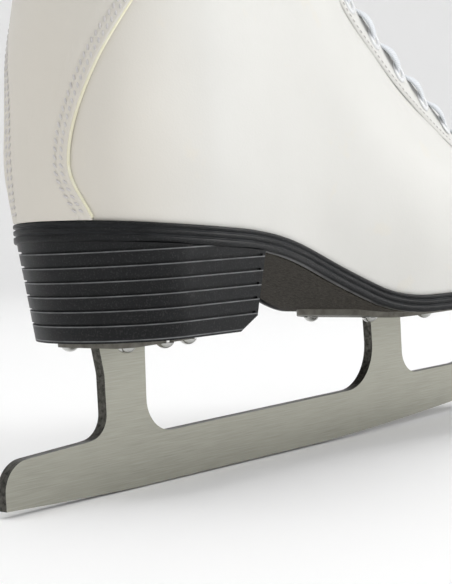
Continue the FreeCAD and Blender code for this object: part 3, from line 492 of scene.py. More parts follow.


# ---------------------------------------------------------------- welt and outsole
# Moulded black unit that runs round the boot: rounded corners, two grooves with a lighter grey
# highlight painted in their floors and on their lips, and an underside stepped for the fibre board.
welt_section = [(-14, 1.75), (-2.95, 1.75), (-2.95, 0.0), (-0.8, 0.0), (-0.25, 0.12), (0, 0.55),
                (0, 1.95), (-0.1, 2.12), (-0.7, 2.28), (-0.7, 2.8), (-0.1, 2.96), (0, 3.12),
                (0, 4.05), (-0.1, 4.2), (-0.7, 4.36), (-0.7, 4.88), (-0.1, 5.04), (0, 5.2),
                (0, 5.85), (-0.25, 6.2), (-0.7, 6.3), (-14, 6.3)]
walk = np.linspace(0, 2 * TOE, 481)[:-1]
edge = last_point(walk, 0.0)
step = last_point(walk + 0.2, 0.0) - last_point(walk - 0.2, 0.0)
step /= np.linalg.norm(step[:, :2], axis=1)[:, None]
points, faces, groove_highlight_weight = [], [], []
for out, rise in welt_section:
    x = edge[:, 0] + step[:, 1] * (LEDGE + out)
    y = edge[:, 1] - step[:, 0] * (LEDGE + out)
    points += list(np.stack([x, y, sole_height(x, rise)], 1) * MM)
    # Weights of the painted highlight: 1 in the groove floors, 0.45 on their lips.
    groove_highlight_weight += [1.0 if out == -0.7 and 2 < rise < 5 else (0.45 if out == -0.1 else 0.0)] * len(walk)
n, rings = len(walk), len(welt_section)
for i in range(rings):
    for k in range(n):
        a, b = i * n + k, i * n + (k + 1) % n
        c, d = ((i + 1) % rings) * n + (k + 1) % n, ((i + 1) % rings) * n + k
        faces.append((d, c, b, a))
welt = mesh_object("welt_unit", points, faces)
lips = welt.data.attributes.new("groove_highlight_weight", "FLOAT", "POINT")
lips.data.foreach_set("value", np.array(groove_highlight_weight, np.float32))
welt_black, tree, shader, tone = moulded_black("welt_black")
# Painted highlight: the grooves are painted lighter grey than the black, patchy with noise.
marked = add(tree, "ShaderNodeAttribute", attribute_name="groove_highlight_weight")
painted_groove_highlight = add(tree, "ShaderNodeMath", {0: marked.outputs["Fac"],
                                    1: ramp(tree, mottle(tree, 7.0, 2.2), 0.1, 0.9, 0.35, 1.0)},
           operation="MULTIPLY")
paint(tree, shader, painted_groove_highlight.outputs[0], tone, (0.035, 0.037, 0.04))
welt.data.materials.append(welt_black)
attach(welt, "boot")
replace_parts(welt, "outsole_welt")


# ---------------------------------------------------------------- leather of the upper
# Smooth white coated leather, cut to panels, lasted and stitched.  It has a very fine grain, soft
# unevenness from the lasting and a few random yellowed patches; towards the heel its colour is
# painted darker and warmer as shade.
def leather_finish(name, pale, aged, back_shade=True):
    material, tree, shader = finish_of(name, Specular_IOR_Level=0.35, Subsurface_Weight=0.0,
                                       Sheen_Weight=0.04, Coat_Weight=0.06, Coat_Roughness=0.35)
    place = add(tree, "ShaderNodeTexCoord")
    tone = blend_colour(tree, mottle(tree, 38.0, 1.5), pale, aged)
    if back_shade:
        split = add(tree, "ShaderNodeSeparateXYZ", {"Vector": place.outputs["Object"]})
        # Painted shade: towards the heel the colour is darkened and warmed, where less light falls.
        painted_heel_shade = ramp(tree, split.outputs["X"], -0.030, -0.074, 0.0, 0.75)
        tone = blend_colour(tree, painted_heel_shade, tone, (0.70, 0.655, 0.575))
    stain = ramp(tree, mottle(tree, 14.0, 2.6), 0.82, 1.0, 0.0, 0.30)
    tone = blend_colour(tree, stain, tone, (0.73, 0.69, 0.60))
    tree.links.new(tone, shader.inputs["Base Color"])
    cells = add(tree, "ShaderNodeTexVoronoi", {"Vector": place.outputs["Object"]}, Scale=1500.0)
    pores = add(tree, "ShaderNodeBump", {"Height": cells.outputs["Distance"]}, Strength=0.10,
                Distance=0.00015)
    waves = add(tree, "ShaderNodeBump",
                {"Height": mottle(tree, 5.0, 1.0), "Normal": pores.outputs["Normal"]},
                Strength=0.10, Distance=0.0004)
    tree.links.new(waves.outputs["Normal"], shader.inputs["Normal"])
    polish(tree, shader, mottle(tree, 2.5, 1.2), 0.0, 1.0, 0.42, 0.56)
    return material


white_leather = leather_finish("white_leather", (0.71, 0.705, 0.675), (0.685, 0.678, 0.645))
raw_edge, tree, shader = finish_of("raw_leather_edge", Roughness=0.7)
paint(tree, shader, mottle(tree, 3.0, 1.8), (0.80, 0.76, 0.55), (0.86, 0.84, 0.70))


def leather_sheet(name, place_level, rows, columns, out, thick, relief=None,
                  material=white_leather):
    """Closed leather panel on the last; place_level(a, b) gives its places and levels, and relief
    adds millimetres to its outside."""
    a, b = np.meshgrid(np.linspace(0, 1, rows + 1), np.linspace(0, 1, columns + 1), indexing="ij")
    place, level = place_level(a, b)
    lift = relief(place, level, a, b) if relief else np.zeros_like(a)
    ease = np.minimum(np.minimum(a, 1 - a) * rows, np.minimum(b, 1 - b) * columns)
    lift = lift - 0.22 * np.clip(1 - ease, 0, 1)
    outer = on_last(place, level, out + lift)
    inner = on_last(place, level, out - thick + np.zeros_like(a))
    count = (rows + 1) * (columns + 1)
    points = np.concatenate([outer.reshape(-1, 3), inner.reshape(-1, 3)]) * MM
    at = np.arange(count).reshape(rows + 1, columns + 1)
    faces = []
    for i in range(rows):
        for j in range(columns):
            quad = (int(at[i, j]), int(at[i + 1, j]), int(at[i + 1, j + 1]), int(at[i, j + 1]))
            faces.append(quad)
            faces.append(tuple(count + v for v in quad[::-1]))
    rim = list(at[:, 0]) + list(at[-1, 1:]) + list(at[-2::-1, -1]) + list(at[0, -2:0:-1])
    for k in range(len(rim)):
        p, q = int(rim[k]), int(rim[(k + 1) % len(rim)])
        faces.append((q, p, count + p, count + q))
    sheet = mesh_object(name, points, faces)
    sheet.data.set_sharp_from_angle(angle=math.radians(50))
    sheet.data.materials.append(material)
    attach(sheet, "boot")
    return sheet


def side_map(inner, top=lambda place: 1.0 + 0 * place):
    def place_level(a, b):
        level = b * top(a * vamp_seam(b))
        place = 0.015 + a * (vamp_seam(level) - 0.015)
        return (mirrored(place) if inner else place), level
    return place_level


def eyestay_map(inner, wide=24.0):
    def place_level(a, b):
        place = THROAT - 0.06 + (4.1 - THROAT) * a
        lows = np.array([inset_level(p, wide) for p in place[:, 0]])[:, None]
        level = lows + (1 - lows) * b
        return (mirrored(place) if inner else place), level
    return place_level


def vamp_map(trim=0.0, top=1.0):
    def place_level(a, b):
        level = b * top
        start = vamp_seam(level) + 0.01
        share = trim + a * (1 - 2 * trim)
        return start + (mirrored(start) - start) * share, level
    return place_level


def hide_waves(place, level, a, b):
    """Slow unevenness of lasted leather, a little deeper at the ankle and over the ball."""
    return (0.22 * np.sin(2.3 * place + 7 * level) * np.sin(9 * level + 0.8 * place)
            + 0.12 * np.sin(5.1 * place - 11 * level)) * np.clip(4 * level, 0, 1)


for side, inner in (("outer", False), ("inner", True)):
    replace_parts(leather_sheet("leather_quarter_" + side, side_map(inner), 170, 80, 0.0, LEATHER,
                              hide_waves), "quarter_" + side)
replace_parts(leather_sheet("leather_vamp", vamp_map(), 120, 60, 0.0, LEATHER, hide_waves), "vamp")


# ---------------------------------------------------------------- seams
# Waxed thread in short slanted stitches; each lies in its own dent.  One row is a single mesh.
def stitch_row(name, places, levels, out, pitch=2.3, slant=0.35, long=1.75, thick=0.5):
    line = on_last(places, levels, np.full(len(places), out))
    normals = last_normal(np.asarray(places, float), levels)
    gone = np.concatenate([[0], np.cumsum(np.linalg.norm(np.diff(line, axis=0), axis=1))])
    points, faces = [], []
    for s in np.arange(pitch, gone[-1] - pitch, pitch):
        here = np.array([np.interp(s, gone, line[:, k]) for k in range(3)])
        ahead = np.array([np.interp(s + 0.5, gone, line[:, k]) for k in range(3)]) - here
        normal = np.array([np.interp(s, gone, normals[:, k]) for k in range(3)])
        normal /= np.linalg.norm(normal)
        ahead /= np.linalg.norm(ahead)
        across = np.cross(normal, ahead)
        run = ahead * math.cos(slant) + across * math.sin(slant)
        flank = np.cross(normal, run)
        first = len(points)
        for t in (-1.0, -0.75, -0.3, 0.3, 0.75, 1.0):
            swell = math.sqrt(max(1 - t * t, 0.02))
            for k in range(6):
                turn = 2 * math.pi * k / 6
                points.append((here + run * t * long / 2
                               + flank * math.cos(turn) * swell * thick / 2
                               + normal * (math.sin(turn) * swell * thick / 2
                                           - 0.25 * abs(t) ** 3)) * MM)
        faces += tube_faces(first, 6, 6)
    row = mesh_object(name, points, faces)
    row.data.materials.append(thread)
    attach(row, "boot")
    return row


thread, tree, shader = finish_of("waxed_thread", Roughness=0.55)
paint(tree, shader, mottle(tree, 1.6, 2.0), (0.60, 0.575, 0.565), (0.70, 0.68, 0.665))

def places_beside(edge_places, levels, distance):
    """Places that lie a distance in from an edge, measured round the last."""
    per_place = np.linalg.norm(last_point(edge_places + 0.05, levels)
                               - last_point(edge_places - 0.05, levels), axis=-1) / 0.1
    return edge_places - distance / per_place


# ---------------------------------------------------------------- backstay
# Strip that covers the back seam and spreads into a cuff at the ankle: folded cream edge, two
# stitched rows close beside it.
def backstay_half(level):
    values = np.array([0.72, 0.52, 0.80, 1.70, 2.50])
    climb = np.asarray(level) * LEVELS
    k = np.clip(np.floor(climb).astype(int), 0, LEVELS - 1)
    p1, p2 = values[k], values[k + 1]
    p0 = np.where(k > 0, values[np.maximum(k - 1, 0)], 2 * p1 - p2)
    p3 = np.where(k + 2 <= LEVELS, values[np.minimum(k + 2, LEVELS)], 2 * p2 - p1)
    return bend_through((p0, p1, p2, p3), climb - k)


ROWS_IN = (1.9, 4.1)
backstay_out = OVERLAY + 0.2


def backstay_map(a, b):
    level = 0.004 + 0.981 * b
    return backstay_half(level) * (2 * a - 1), level


def backstay_relief(place, level, a, b):
    half = backstay_half(level)
    per_place = np.linalg.norm(last_point(half + 0.05, level)
                               - last_point(half - 0.05, level), axis=-1) / 0.1
    inside = (half - np.abs(place)) * per_place
    dents = sum(np.exp(-((inside - d) / 0.8) ** 2) for d in ROWS_IN)
    return -0.32 * dents + 0.15 * np.sin(inside * 0.9) * np.exp(-inside / 9)


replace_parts(leather_sheet("leather_backstay", backstay_map, 130, 150, backstay_out, OVERLAY + 0.1,
                          backstay_relief), "backstay")
climb = np.linspace(0.012, 0.978, 170)
for side, sign in (("outer", 1), ("inner", -1)):
    half = backstay_half(climb)
    for row, distance in enumerate(ROWS_IN):
        stitch_row("backstay_stitches_%s_%d" % (side, row + 1),
                   sign * places_beside(half, climb, distance), climb, backstay_out - 0.12,
                   pitch=2.5, slant=0.62 * sign, long=2.2, thick=0.85)


def run_of(line):
    """Unit directions along a line of points."""
    ahead = np.gradient(line, axis=0)
    return ahead / np.linalg.norm(ahead, axis=1)[:, None]


def bead(name, places, levels, out, radius, material):
    """Thin rounded edge that runs along a panel."""
    line = on_last(places, levels, np.full(len(places), out))
    normals = last_normal(np.asarray(places, float), levels)
    across = np.cross(normals, run_of(line))
    points, ring = [], 8
    for i in range(len(line)):
        for k in range(ring):
            turn = 2 * math.pi * k / ring
            off = across[i] * math.cos(turn) + normals[i] * math.sin(turn)
            points.append((line[i] + off * radius) * MM)
    made = mesh_object(name, points, tube_faces(0, len(line), ring))
    made.data.materials.append(material)
    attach(made, "boot")
    return made


for side, sign in (("outer", 1), ("inner", -1)):
    bead("backstay_edge_" + side, sign * (backstay_half(climb) + 0.005), climb, 0.55, 0.62,
         raw_edge)


# ---------------------------------------------------------------- eyestays
# Facing strips over the quarters' front edges, stitched along both sides; white lacquered eyelets
# are clenched through them, and speed hooks are riveted above.
def eyestay_relief(place, level, a, b):
    skived = -0.85 * np.exp(-(b * 24 / 1.3) ** 2)
    return (skived - 0.22 * np.exp(-((b - 0.085) * 24 / 0.8) ** 2)
            - 0.2 * np.exp(-((b - 0.90) * 24 / 0.8) ** 2))


run = np.linspace(THROAT - 0.1, 4.16, 150)
for side, inner in (("outer", False), ("inner", True)):
    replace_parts(leather_sheet("leather_eyestay_" + side, eyestay_map(inner), 150, 40, OVERLAY + 0.2,
                              OVERLAY + 0.1, eyestay_relief), "eyestay_" + side)
    for label, depth in (("outer_row", 22.0), ("edge_row", 2.4)):
        low = np.array([inset_level(p, depth) for p in run])
        places = mirrored(run) if inner else run
        stitch_row("eyestay_%s_%s" % (side, label), places, low, OVERLAY + 0.1, pitch=2.6,
                   slant=0.0, long=1.7, thick=0.42)
    seam_levels = np.linspace(0.03, 0.80, 90)
    for row, distance in enumerate((2.0, 4.6)):
        places = places_beside(vamp_seam(seam_levels), seam_levels, distance)
        stitch_row("vamp_seam_%s_%d" % (side, row + 1), mirrored(places) if inner else places,
                   seam_levels, -0.02, pitch=2.4, slant=0.0)


# ---------------------------------------------------------------- lining and footbed
# Brushed cloth lining inside the quarters and vamp, and a cushioned footbed glued on the insole.
lining_cloth, tree, shader = finish_of("lining_cloth", Roughness=0.95, Sheen_Weight=0.35,
                                       Sheen_Roughness=0.6, Specular_IOR_Level=0.15)
place = add(tree, "ShaderNodeTexCoord")
yarns = [add(tree, "ShaderNodeTexWave", {"Vector": place.outputs["Object"]}, Scale=420.0,
             Distortion=0.6, bands_direction=way).outputs["Fac"] for way in ("X", "Z")]
weave = add(tree, "ShaderNodeMath", {0: yarns[0], 1: yarns[1]}, operation="MULTIPLY")
paint(tree, shader, mottle(tree, 4.0, 1.5), (0.66, 0.63, 0.57), (0.74, 0.71, 0.65))
emboss(tree, shader, weave.outputs[0], 0.35, 0.0003)
LINING_AT, LINING = -3.0, 1.4


def lining_top(place):
    share = np.clip((place - 3.2) / 1.4, 0, 1)
    return 0.97 - 0.17 * share * share * (3 - 2 * share)


for side, inner in (("outer", False), ("inner", True)):
    piece = leather_sheet("cloth_lining_" + side, side_map(inner, lining_top), 90, 44, LINING_AT,
                          LINING, material=lining_cloth)
    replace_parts(piece, "lining_" + side)
piece = leather_sheet("cloth_vamp_lining", vamp_map(top=0.75), 60, 30, LINING_AT, LINING,
                      material=lining_cloth)
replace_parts(piece, "vamp_lining")
stiff_board, tree, shader = finish_of("stiffener_board", Roughness=0.85)
paint(tree, shader, mottle(tree, 2.0, 2.0), (0.42, 0.35, 0.25), (0.55, 0.47, 0.35))
for name in ("heel_stiffener", "toe_puff", "collar_foam"):
    dress(name, stiff_board)

# ---------------------------------------------------------------- footbed
# Cushioned footbed: a thin foam-backed cloth pad, dished a little under the heel and the ball.
inset, footbed_thick, footbed_under = 7.8, 3.5, WELT_THICK + 2.7
ring = np.linspace(0, 2 * TOE, 161)[:-1]
edge = last_point(ring, 0.0)
step = last_point(ring + 0.2, 0.0) - last_point(ring - 0.2, 0.0)
step /= np.linalg.norm(step[:, :2], axis=1)[:, None]
rim_x = edge[:, 0] - step[:, 1] * inset
rim_y = edge[:, 1] + step[:, 0] * inset
middle_y = np.interp(rim_x, [-70, 60, 120, 190], [0, -3, 0, 3])
points, faces = [], []
shares = np.concatenate([np.linspace(0.02, 0.9, 12), [0.96, 0.99, 1.0, 1.0, 0.98]])
rises = np.concatenate([np.full(12, 1.0), [0.93, 0.75, 0.5, 0.2, 0.0]])
for share, rise in zip(shares, rises):
    y = middle_y + (rim_y - middle_y) * share
    dish = 0.7 * (1 - share ** 2) * rise
    z = sole_height(rim_x, footbed_under + footbed_thick * rise) - dish
    points += list(np.stack([rim_x, y, z], 1) * MM)
count = len(ring)
for i in range(len(shares) - 1):
    for k in range(count):
        a, b = i * count + k, i * count + (k + 1) % count
        faces.append((a + count, b + count, b, a))
for k in range(1, count // 2):
    crossing = (k, k - 1, count - k, count - k - 1)
    faces.append(crossing if k < count - k - 1 else crossing[:3])
footbed = mesh_object("cloth_footbed", points, faces)
footbed.data.materials.append(lining_cloth)
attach(footbed, "boot")
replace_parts(footbed, "footbed")


# ---------------------------------------------------------------- collar
# Padded leather binding rolled over the top edge of the boot, with the closing stitches below it
# on the outside.
collar_thick = 4.4
collar_radius = collar_thick / 2 + 0.3
round_collar = np.linspace(3.8, -3.8, 181)
centre = on_last(round_collar, 1.0 + 0 * round_collar, -collar_thick / 2 + 0 * round_collar)
centre[:, 2] += collar_radius + 0.5
ahead = run_of(centre)
outwards = last_normal(round_collar, 1.0 + 0 * round_collar)
points, ring = [], 20
past_end = (np.abs(np.linspace(-1, 1, 181)) - 0.965).clip(0)
taper = np.sqrt(np.clip(1 - past_end ** 2 / 0.035 ** 2, 0.03, 1))
for i in range(len(centre)):
    side = outwards[i] - ahead[i] * np.dot(outwards[i], ahead[i])
    side /= np.linalg.norm(side)
    over = np.cross(ahead[i], side)
    over = over if over[2] > 0 else -over
    for k in range(ring):
        turn = 2 * math.pi * k / ring
        pucker = 1 + 0.012 * math.sin(i * 1.9 + 2 * math.sin(turn))
        radius = collar_radius * taper[i] * pucker
        points.append((centre[i] + (side * math.cos(turn) + over * math.sin(turn)) * radius) * MM)
collar = mesh_object("leather_collar_roll", points, tube_faces(0, len(centre), ring))
collar.data.materials.append(white_leather)
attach(collar, "boot")
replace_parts(collar, "collar_roll")
below_collar = np.linspace(3.6, -3.6, 140)
for row, depth in enumerate((2.2, 14.0)):
    low = np.array([inset_level(p if p >= 0 else 2 * TOE + p, depth) for p in below_collar])
    over_backstay = np.abs(below_collar) < backstay_half(low)
    out = 0.1 if row == 0 else 0.05
    for label, keep in (("sides", ~over_backstay), ("back", over_backstay)):
        runs = np.split(np.arange(len(keep)), np.flatnonzero(np.diff(keep.astype(int))) + 1)
        for k, part in enumerate(r for r in runs if keep[r[0]] and len(r) > 6):
            stitch_row("collar_%d_%s_%d" % (row + 1, label, k + 1), below_collar[part], low[part],
                       out + (backstay_out if label == "back" else 0), pitch=2.6, slant=0.0,
                       thick=0.42)


# ---------------------------------------------------------------- tongue
# Padded leather tongue, wider than the throat, crowned in the middle and bound at its edges.  It
# bends forward at the fold above the laces.
TONGUE_DEPTH, TONGUE_CROWN, TONGUE_THICK, TONGUE_TOP = 5.8, 1.6, 5.0, 4.3
fold_at = Vector(frame["joints"][0]["pos_m"])


def tongue_row(place, slide=(0, 0, 0), narrow=1.0, columns=25):
    """Front of the tongue across the throat, at one place of the facings."""
    depth = -TONGUE_DEPTH
    ends = []
    for spot in (place, mirrored(place)):
        ends.append([on_last(spot, inset_level(spot, d) if d else 1.0, depth)
                     for d in (13, 6.5, 0)])
    lean = last_normal(place, 1.0) + last_normal(mirrored(place), 1.0)
    lean = np.array([lean[0], 0, lean[2]]) / math.hypot(lean[0], lean[2])
    ridge = (ends[0][-1] + ends[1][-1]) / 2 + lean * TONGUE_CROWN
    knots = np.array(ends[0] + [ridge] + ends[1][::-1])
    t = np.concatenate([[0], np.cumsum(np.linalg.norm(np.diff(knots, axis=0), axis=1))])
    where = np.linspace(0, t[-1], columns)
    smooth = np.stack([np.interp(where, t, knots[:, k]) for k in range(3)], 1)
    for _ in range(3):
        smooth[1:-1] = (smooth[:-2] + 2 * smooth[1:-1] + smooth[2:]) / 4
    return smooth * np.array([1, narrow, 1]) + np.array(slide)


rows = [tongue_row(9.0, (12, 0, -13), 0.75), tongue_row(9.0, (0, 0, -5), 0.9),
        tongue_row(8.4, (0, 0, -2), 0.97)]
rows += [tongue_row(p) for p in (7.7, 7.0, 6.3, 5.6, 5.0)]
rows.append(tongue_row(TONGUE_TOP, (-0.5, 0, 0), 0.8))
rows.append(tongue_row(TONGUE_TOP, (-2, 0, 11), 0.76))
flap_low, flap_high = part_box("tongue_flap")
long, half = (flap_high.z - fold_at.z) / MM, min(flap_high.y, -flap_low.y) / MM
front = np.array(fold_at) / MM
for share, lean, narrow in ((0.08, -0.2, 0.98), (0.3, -0.6, 0.98), (0.7, 1.2, 0.92),
                            (0.9, 3.4, 0.82), (0.985, 4.3, 0.70)):
    turn = np.linspace(-math.pi / 2, math.pi / 2, 25)
    back = 10.5 * (1 - np.cos(turn))
    rows.append(np.stack([front[0] + lean - back, half * narrow * np.sin(turn),
                          front[2] + share * long - 7 * (1 - np.cos(turn)) * share], 1))
rows = np.array(rows)
t = np.concatenate([[0], np.cumsum(np.linalg.norm(np.diff(rows[:, 12], axis=0), axis=1))])
fine = np.linspace(0, t[-1], 110)
grid = np.stack([[np.interp(fine, t, rows[:, j, k]) for j in range(25)] for k in range(3)], -1)
grid = np.transpose(grid, (1, 0, 2))
for _ in range(6):
    grid[1:-1] = (grid[:-2] + 2 * grid[1:-1] + grid[2:]) / 4
along = np.gradient(grid, axis=0)
sideways = np.gradient(grid, axis=1)
inward = np.cross(along, sideways)
inward /= np.linalg.norm(inward, axis=-1, keepdims=True)
if inward[60, 12, 0] > 0:
    inward = -inward
across = np.linspace(-1, 1, 25)[None, :, None]
upwards = np.linspace(0, 1, 110)[:, None, None]
full = (1 - np.abs(across) ** 6) * (1 - np.clip((upwards - 0.93) / 0.07, 0, 1) ** 2.5)
quilt = 0.35 * np.exp(-((np.abs(across) - 0.86) / 0.03) ** 2)
front_skin = grid + inward * (0.5 * TONGUE_THICK * (1 - np.sqrt(full)) + quilt)
back_skin = grid + inward * (TONGUE_THICK - 0.5 * TONGUE_THICK * (1 - np.sqrt(full)) - 0.02)
count = 110 * 25
points = np.concatenate([front_skin.reshape(-1, 3), back_skin.reshape(-1, 3)]) * MM
at = np.arange(count).reshape(110, 25)
faces = []
for i in range(109):
    for j in range(24):
        quad = (int(at[i, j]), int(at[i, j + 1]), int(at[i + 1, j + 1]), int(at[i + 1, j]))
        faces.append(quad)
        faces.append(tuple(count + v for v in quad[::-1]))
rim = list(at[:, 0]) + list(at[-1, 1:]) + list(at[-2::-1, -1]) + list(at[0, -2:0:-1])
for k in range(len(rim)):
    p, q = int(rim[k]), int(rim[(k + 1) % len(rim)])
    faces.append((p, q, count + q, count + p))
tongue_leather = leather_finish("tongue_leather", (0.80, 0.79, 0.765), (0.77, 0.76, 0.73), False)
tongue = mesh_object("padded_tongue", points, faces)
tongue.data.materials.append(tongue_leather)
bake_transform(tongue)
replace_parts(tongue, "tongue", "tongue_flap")


# ---------------------------------------------------------------- eyelets and hooks
# Rolled eyelets, lacquered white, in six pairs; above them four pairs of bent steel speed hooks.
def lathe(name, section, spots, sides, material):
    """Copies of a turned piece; spots holds (point, axis) and section (radius, height) in mm."""
    points, faces = [], []
    for point, axis in spots:
        helper = np.array([0, 0, 1.0]) if abs(axis[2]) < 0.9 else np.array([1.0, 0, 0])
        first_way = np.cross(axis, helper)
        first_way /= np.linalg.norm(first_way)
        second_way = np.cross(axis, first_way)
        first = len(points)
        for radius, height in section:
            for k in range(sides):
                turn = 2 * math.pi * k / sides
                off = first_way * math.cos(turn) + second_way * math.sin(turn)
                points.append((point + axis * height + off * radius) * MM)
        for i in range(len(section)):
            for k in range(sides):
                a, b = first + i * sides + k, first + i * sides + (k + 1) % sides
                c = first + ((i + 1) % len(section)) * sides + (k + 1) % sides
                d = first + ((i + 1) % len(section)) * sides + k
                faces.append((a, b, c, d))
    made = mesh_object(name, points, faces)
    made.data.materials.append(material)
    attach(made, "boot")
    return made


white_lacquer, tree, shader = finish_of("white_lacquer", Coat_Weight=0.4, Coat_Roughness=0.15)
paint(tree, shader, mottle(tree, 1.5, 1.6), (0.74, 0.75, 0.76), (0.80, 0.81, 0.82))
polish(tree, shader, mottle(tree, 1.2, 1.2), 0.0, 1.0, 0.22, 0.36)
EYELET_FIRST, EYELET_PITCH, EYELET_INSET = 7, 18, 9
HOOK_FIRST, HOOK_PITCH = 114, 16.5


def fastening_spots(count, first, pitch):
    found = []
    for k in range(count):
        place = facing_place(first + k * pitch)
        found.append((place, inset_level(place, EYELET_INSET)))
    return found


EYELETS = fastening_spots(6, EYELET_FIRST, EYELET_PITCH)
HOOKS = fastening_spots(4, HOOK_FIRST, HOOK_PITCH)
seat = OVERLAY + 0.2
rolled = [(2.3, -2.0), (2.3, seat + 0.3), (2.6, seat + 0.75), (3.2, seat + 0.85),
          (3.9, seat + 0.65), (4.3, seat + 0.2), (4.25, seat + 0.02), (2.82, seat + 0.02),
          (2.8, -2.0)]
for side, inner in (("outer", False), ("inner", True)):
    spots = []
    for place, level in EYELETS:
        place = mirrored(place) if inner else place
        spots.append((last_point(place, level), last_normal(place, level)))
    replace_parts(lathe("rolled_eyelets_" + side, rolled, spots, 28, white_lacquer),
                "eyelets_" + side)
hook_nickel, tree, shader = finish_of("hook_nickel", Metallic=1.0)
paint(tree, shader, mottle(tree, 2.0, 1.4), (0.62, 0.62, 0.60), (0.78, 0.78, 0.76))
polish(tree, shader, mottle(tree, 1.0, 1.4), 0.0, 1.0, 0.14, 0.28)
for side in ("outer", "inner"):
    dress("hooks_" + side, hook_nickel)
    bevelled(node["hooks_" + side], 0.22)


# ---------------------------------------------------------------- lace
# Flat braided cotton lace, faintly blue-white: under the facings between eyelets, crossed over the
# tongue, round the hooks, and tied in a bow with tipped ends.
LACE_WIDE, LACE_THICK = 5.4, 1.5
lace_cotton, tree, shader = finish_of("lace_cotton", Roughness=0.9, Sheen_Weight=0.25,
                                      Sheen_Roughness=0.5, Specular_IOR_Level=0.2)
flat = add(tree, "ShaderNodeUVMap", uv_map="lace")
braid = []
for turn in (0.7, -0.7):
    lay = add(tree, "ShaderNodeMapping", {"Vector": flat.outputs["UV"]})
    lay.inputs["Rotation"].default_value = (0, 0, turn)
    strands = add(tree, "ShaderNodeTexWave", {"Vector": lay.outputs["Vector"]}, Scale=0.42)
    braid.append(strands.outputs["Fac"])
crossed = add(tree, "ShaderNodeMath", {0: braid[0], 1: braid[1]}, operation="MAXIMUM")
paint(tree, shader, crossed.outputs[0], (0.60, 0.64, 0.70), (0.82, 0.845, 0.87))
emboss(tree, shader, crossed.outputs[0], 0.6, 0.0004)


def route_line(control):
    """Line of a quadratic NURBS spline with these control points."""
    curve = bpy.data.curves.new("route", "CURVE")
    curve.dimensions, curve.resolution_u = "3D", 14
    spline = curve.splines.new("NURBS")
    spline.points.add(len(control) - 1)
    for point, place in zip(spline.points, control):
        point.co = (*place, 1)
    spline.order_u, spline.use_endpoint_u = 3, True
    holder = bpy.data.objects.new("route", curve)
    mesh = bpy.data.meshes.new_from_object(holder)
    line = np.array([tuple(v.co) for v in mesh.vertices])
    bpy.data.objects.remove(holder)
    bpy.data.curves.remove(curve)
    bpy.data.meshes.remove(mesh)
    return line


def flat_lace(name, routes, wide=LACE_WIDE, thick=LACE_THICK):
    """Ribbons of oval section; each route is (points, facing directions) in mm."""
    points, faces, uvs, ring = [], [], [], 14
    for control, towards in routes:
        line, facing = route_line(control), route_line(towards)
        ahead = run_of(line)
        facing = facing - ahead * np.sum(facing * ahead, axis=1)[:, None]
        facing /= np.linalg.norm(facing, axis=1)[:, None]
        across = np.cross(ahead, facing)
        gone = np.concatenate([[0], np.cumsum(np.linalg.norm(np.diff(line, axis=0), axis=1))])
        first = len(points)
        for i in range(len(line)):
            for k in range(ring):
                turn = 2 * math.pi * k / ring
                side, lift = math.cos(turn), math.sin(turn)
                flatten = math.copysign(abs(lift) ** 0.7, lift)
                points.append((line[i] + across[i] * side * wide / 2
                               + facing[i] * flatten * thick / 2) * MM)
        faces += tube_faces(first, len(line), ring)
        for start, end in zip(gone, gone[1:]):
            for k in range(ring):
                low, high = k * wide / 7, (k + 1) * wide / 7
                uvs.append([(start, low), (start, high), (end, high), (end, low)])
        uvs.append([(0, k) for k in range(ring)])
        uvs.append([(gone[-1], k) for k in range(ring)])
    ribbon = mesh_object(name, points, faces)
    layer = ribbon.data.uv_layers.new(name="lace")
    layer.data.foreach_set("uv", np.array([v for face in uvs for v in face], np.float32).ravel())
    ribbon.data.materials.append(lace_cotton)
    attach(ribbon, "boot")
    return ribbon


def throat_spot(place, height):
    lean = last_normal(place, 1.0) + last_normal(mirrored(place), 1.0)
    lean = np.array([lean[0], 0, lean[2]]) / math.hypot(lean[0], lean[2])
    return (last_point(place, 1.0) + last_point(mirrored(place), 1.0)) / 2 + lean * height, lean


def lace_half(inner_first):
    """One half of the lace from the bottom bar up to the bow, with the way its flat side faces."""
    over, under = OVERLAY + 2.0, -(LEATHER + 2.1)
    raised = 2.0 if inner_first else 0.0
    points, facing = [], []

    def pass_by(point, normal):
        points.append(point)
        facing.append(normal)

    def spot(place, level, inner, out):
        place = mirrored(place) if inner else place
        pass_by(on_last(place, level, out), last_normal(place, level))

    place, level = EYELETS[0]
    inner = inner_first
    pass_by(*throat_spot(place, over - 1.6))
    spot(place, 1.0, inner, over)
    spot(place, level, inner, over)
    spot(place, level, inner, under)
    for (below, _), (place, level) in zip(EYELETS, EYELETS[1:]):
        if below == EYELETS[0][0]:
            spot(below + 0.25 * (place - below), 0.995, inner, under)
        else:
            spot(below + 0.25 * (place - below), 1.0, inner, over)
        pass_by(*throat_spot((below + place) / 2, 0.2 + raised))
        inner = not inner
        spot(below + 0.75 * (place - below), 0.995, inner, under)
        spot(place, level, inner, under)
        spot(place, level, inner, over)
    below = EYELETS[-1][0]
    for place, level in HOOKS:
        spot(below + 0.3 * (place - below), 1.0, inner, over + 0.6)
        pass_by(*throat_spot((below + place) / 2, 1.2 + raised))
        inner = not inner
        there = mirrored(place) if inner else place
        point, normal = last_point(there, level), last_normal(there, level)
        rising = -1 if there < TOE else 1
        edge_run = last_point(there + 0.1 * rising, level) - last_point(there - 0.1 * rising, level)
        edge_run -= normal * np.dot(edge_run, normal)
        edge_run /= np.linalg.norm(edge_run)
        away = last_point(there, level - 0.05) - point
        away -= normal * np.dot(away, normal) + edge_run * np.dot(away, edge_run)
        away /= np.linalg.norm(away)
        for run_on, out in ((-6.5, -6.0), (-4.6, -1.0), (4.6, -1.0), (6.5, -6.0)):
            pass_by(point + edge_run * run_on + away * out + normal * (OVERLAY + 3.3), normal)
        below = place
    pass_by(knot_spot(0, 3.5 * (1 if inner else -1), 0), knot_lean)
    return points, facing


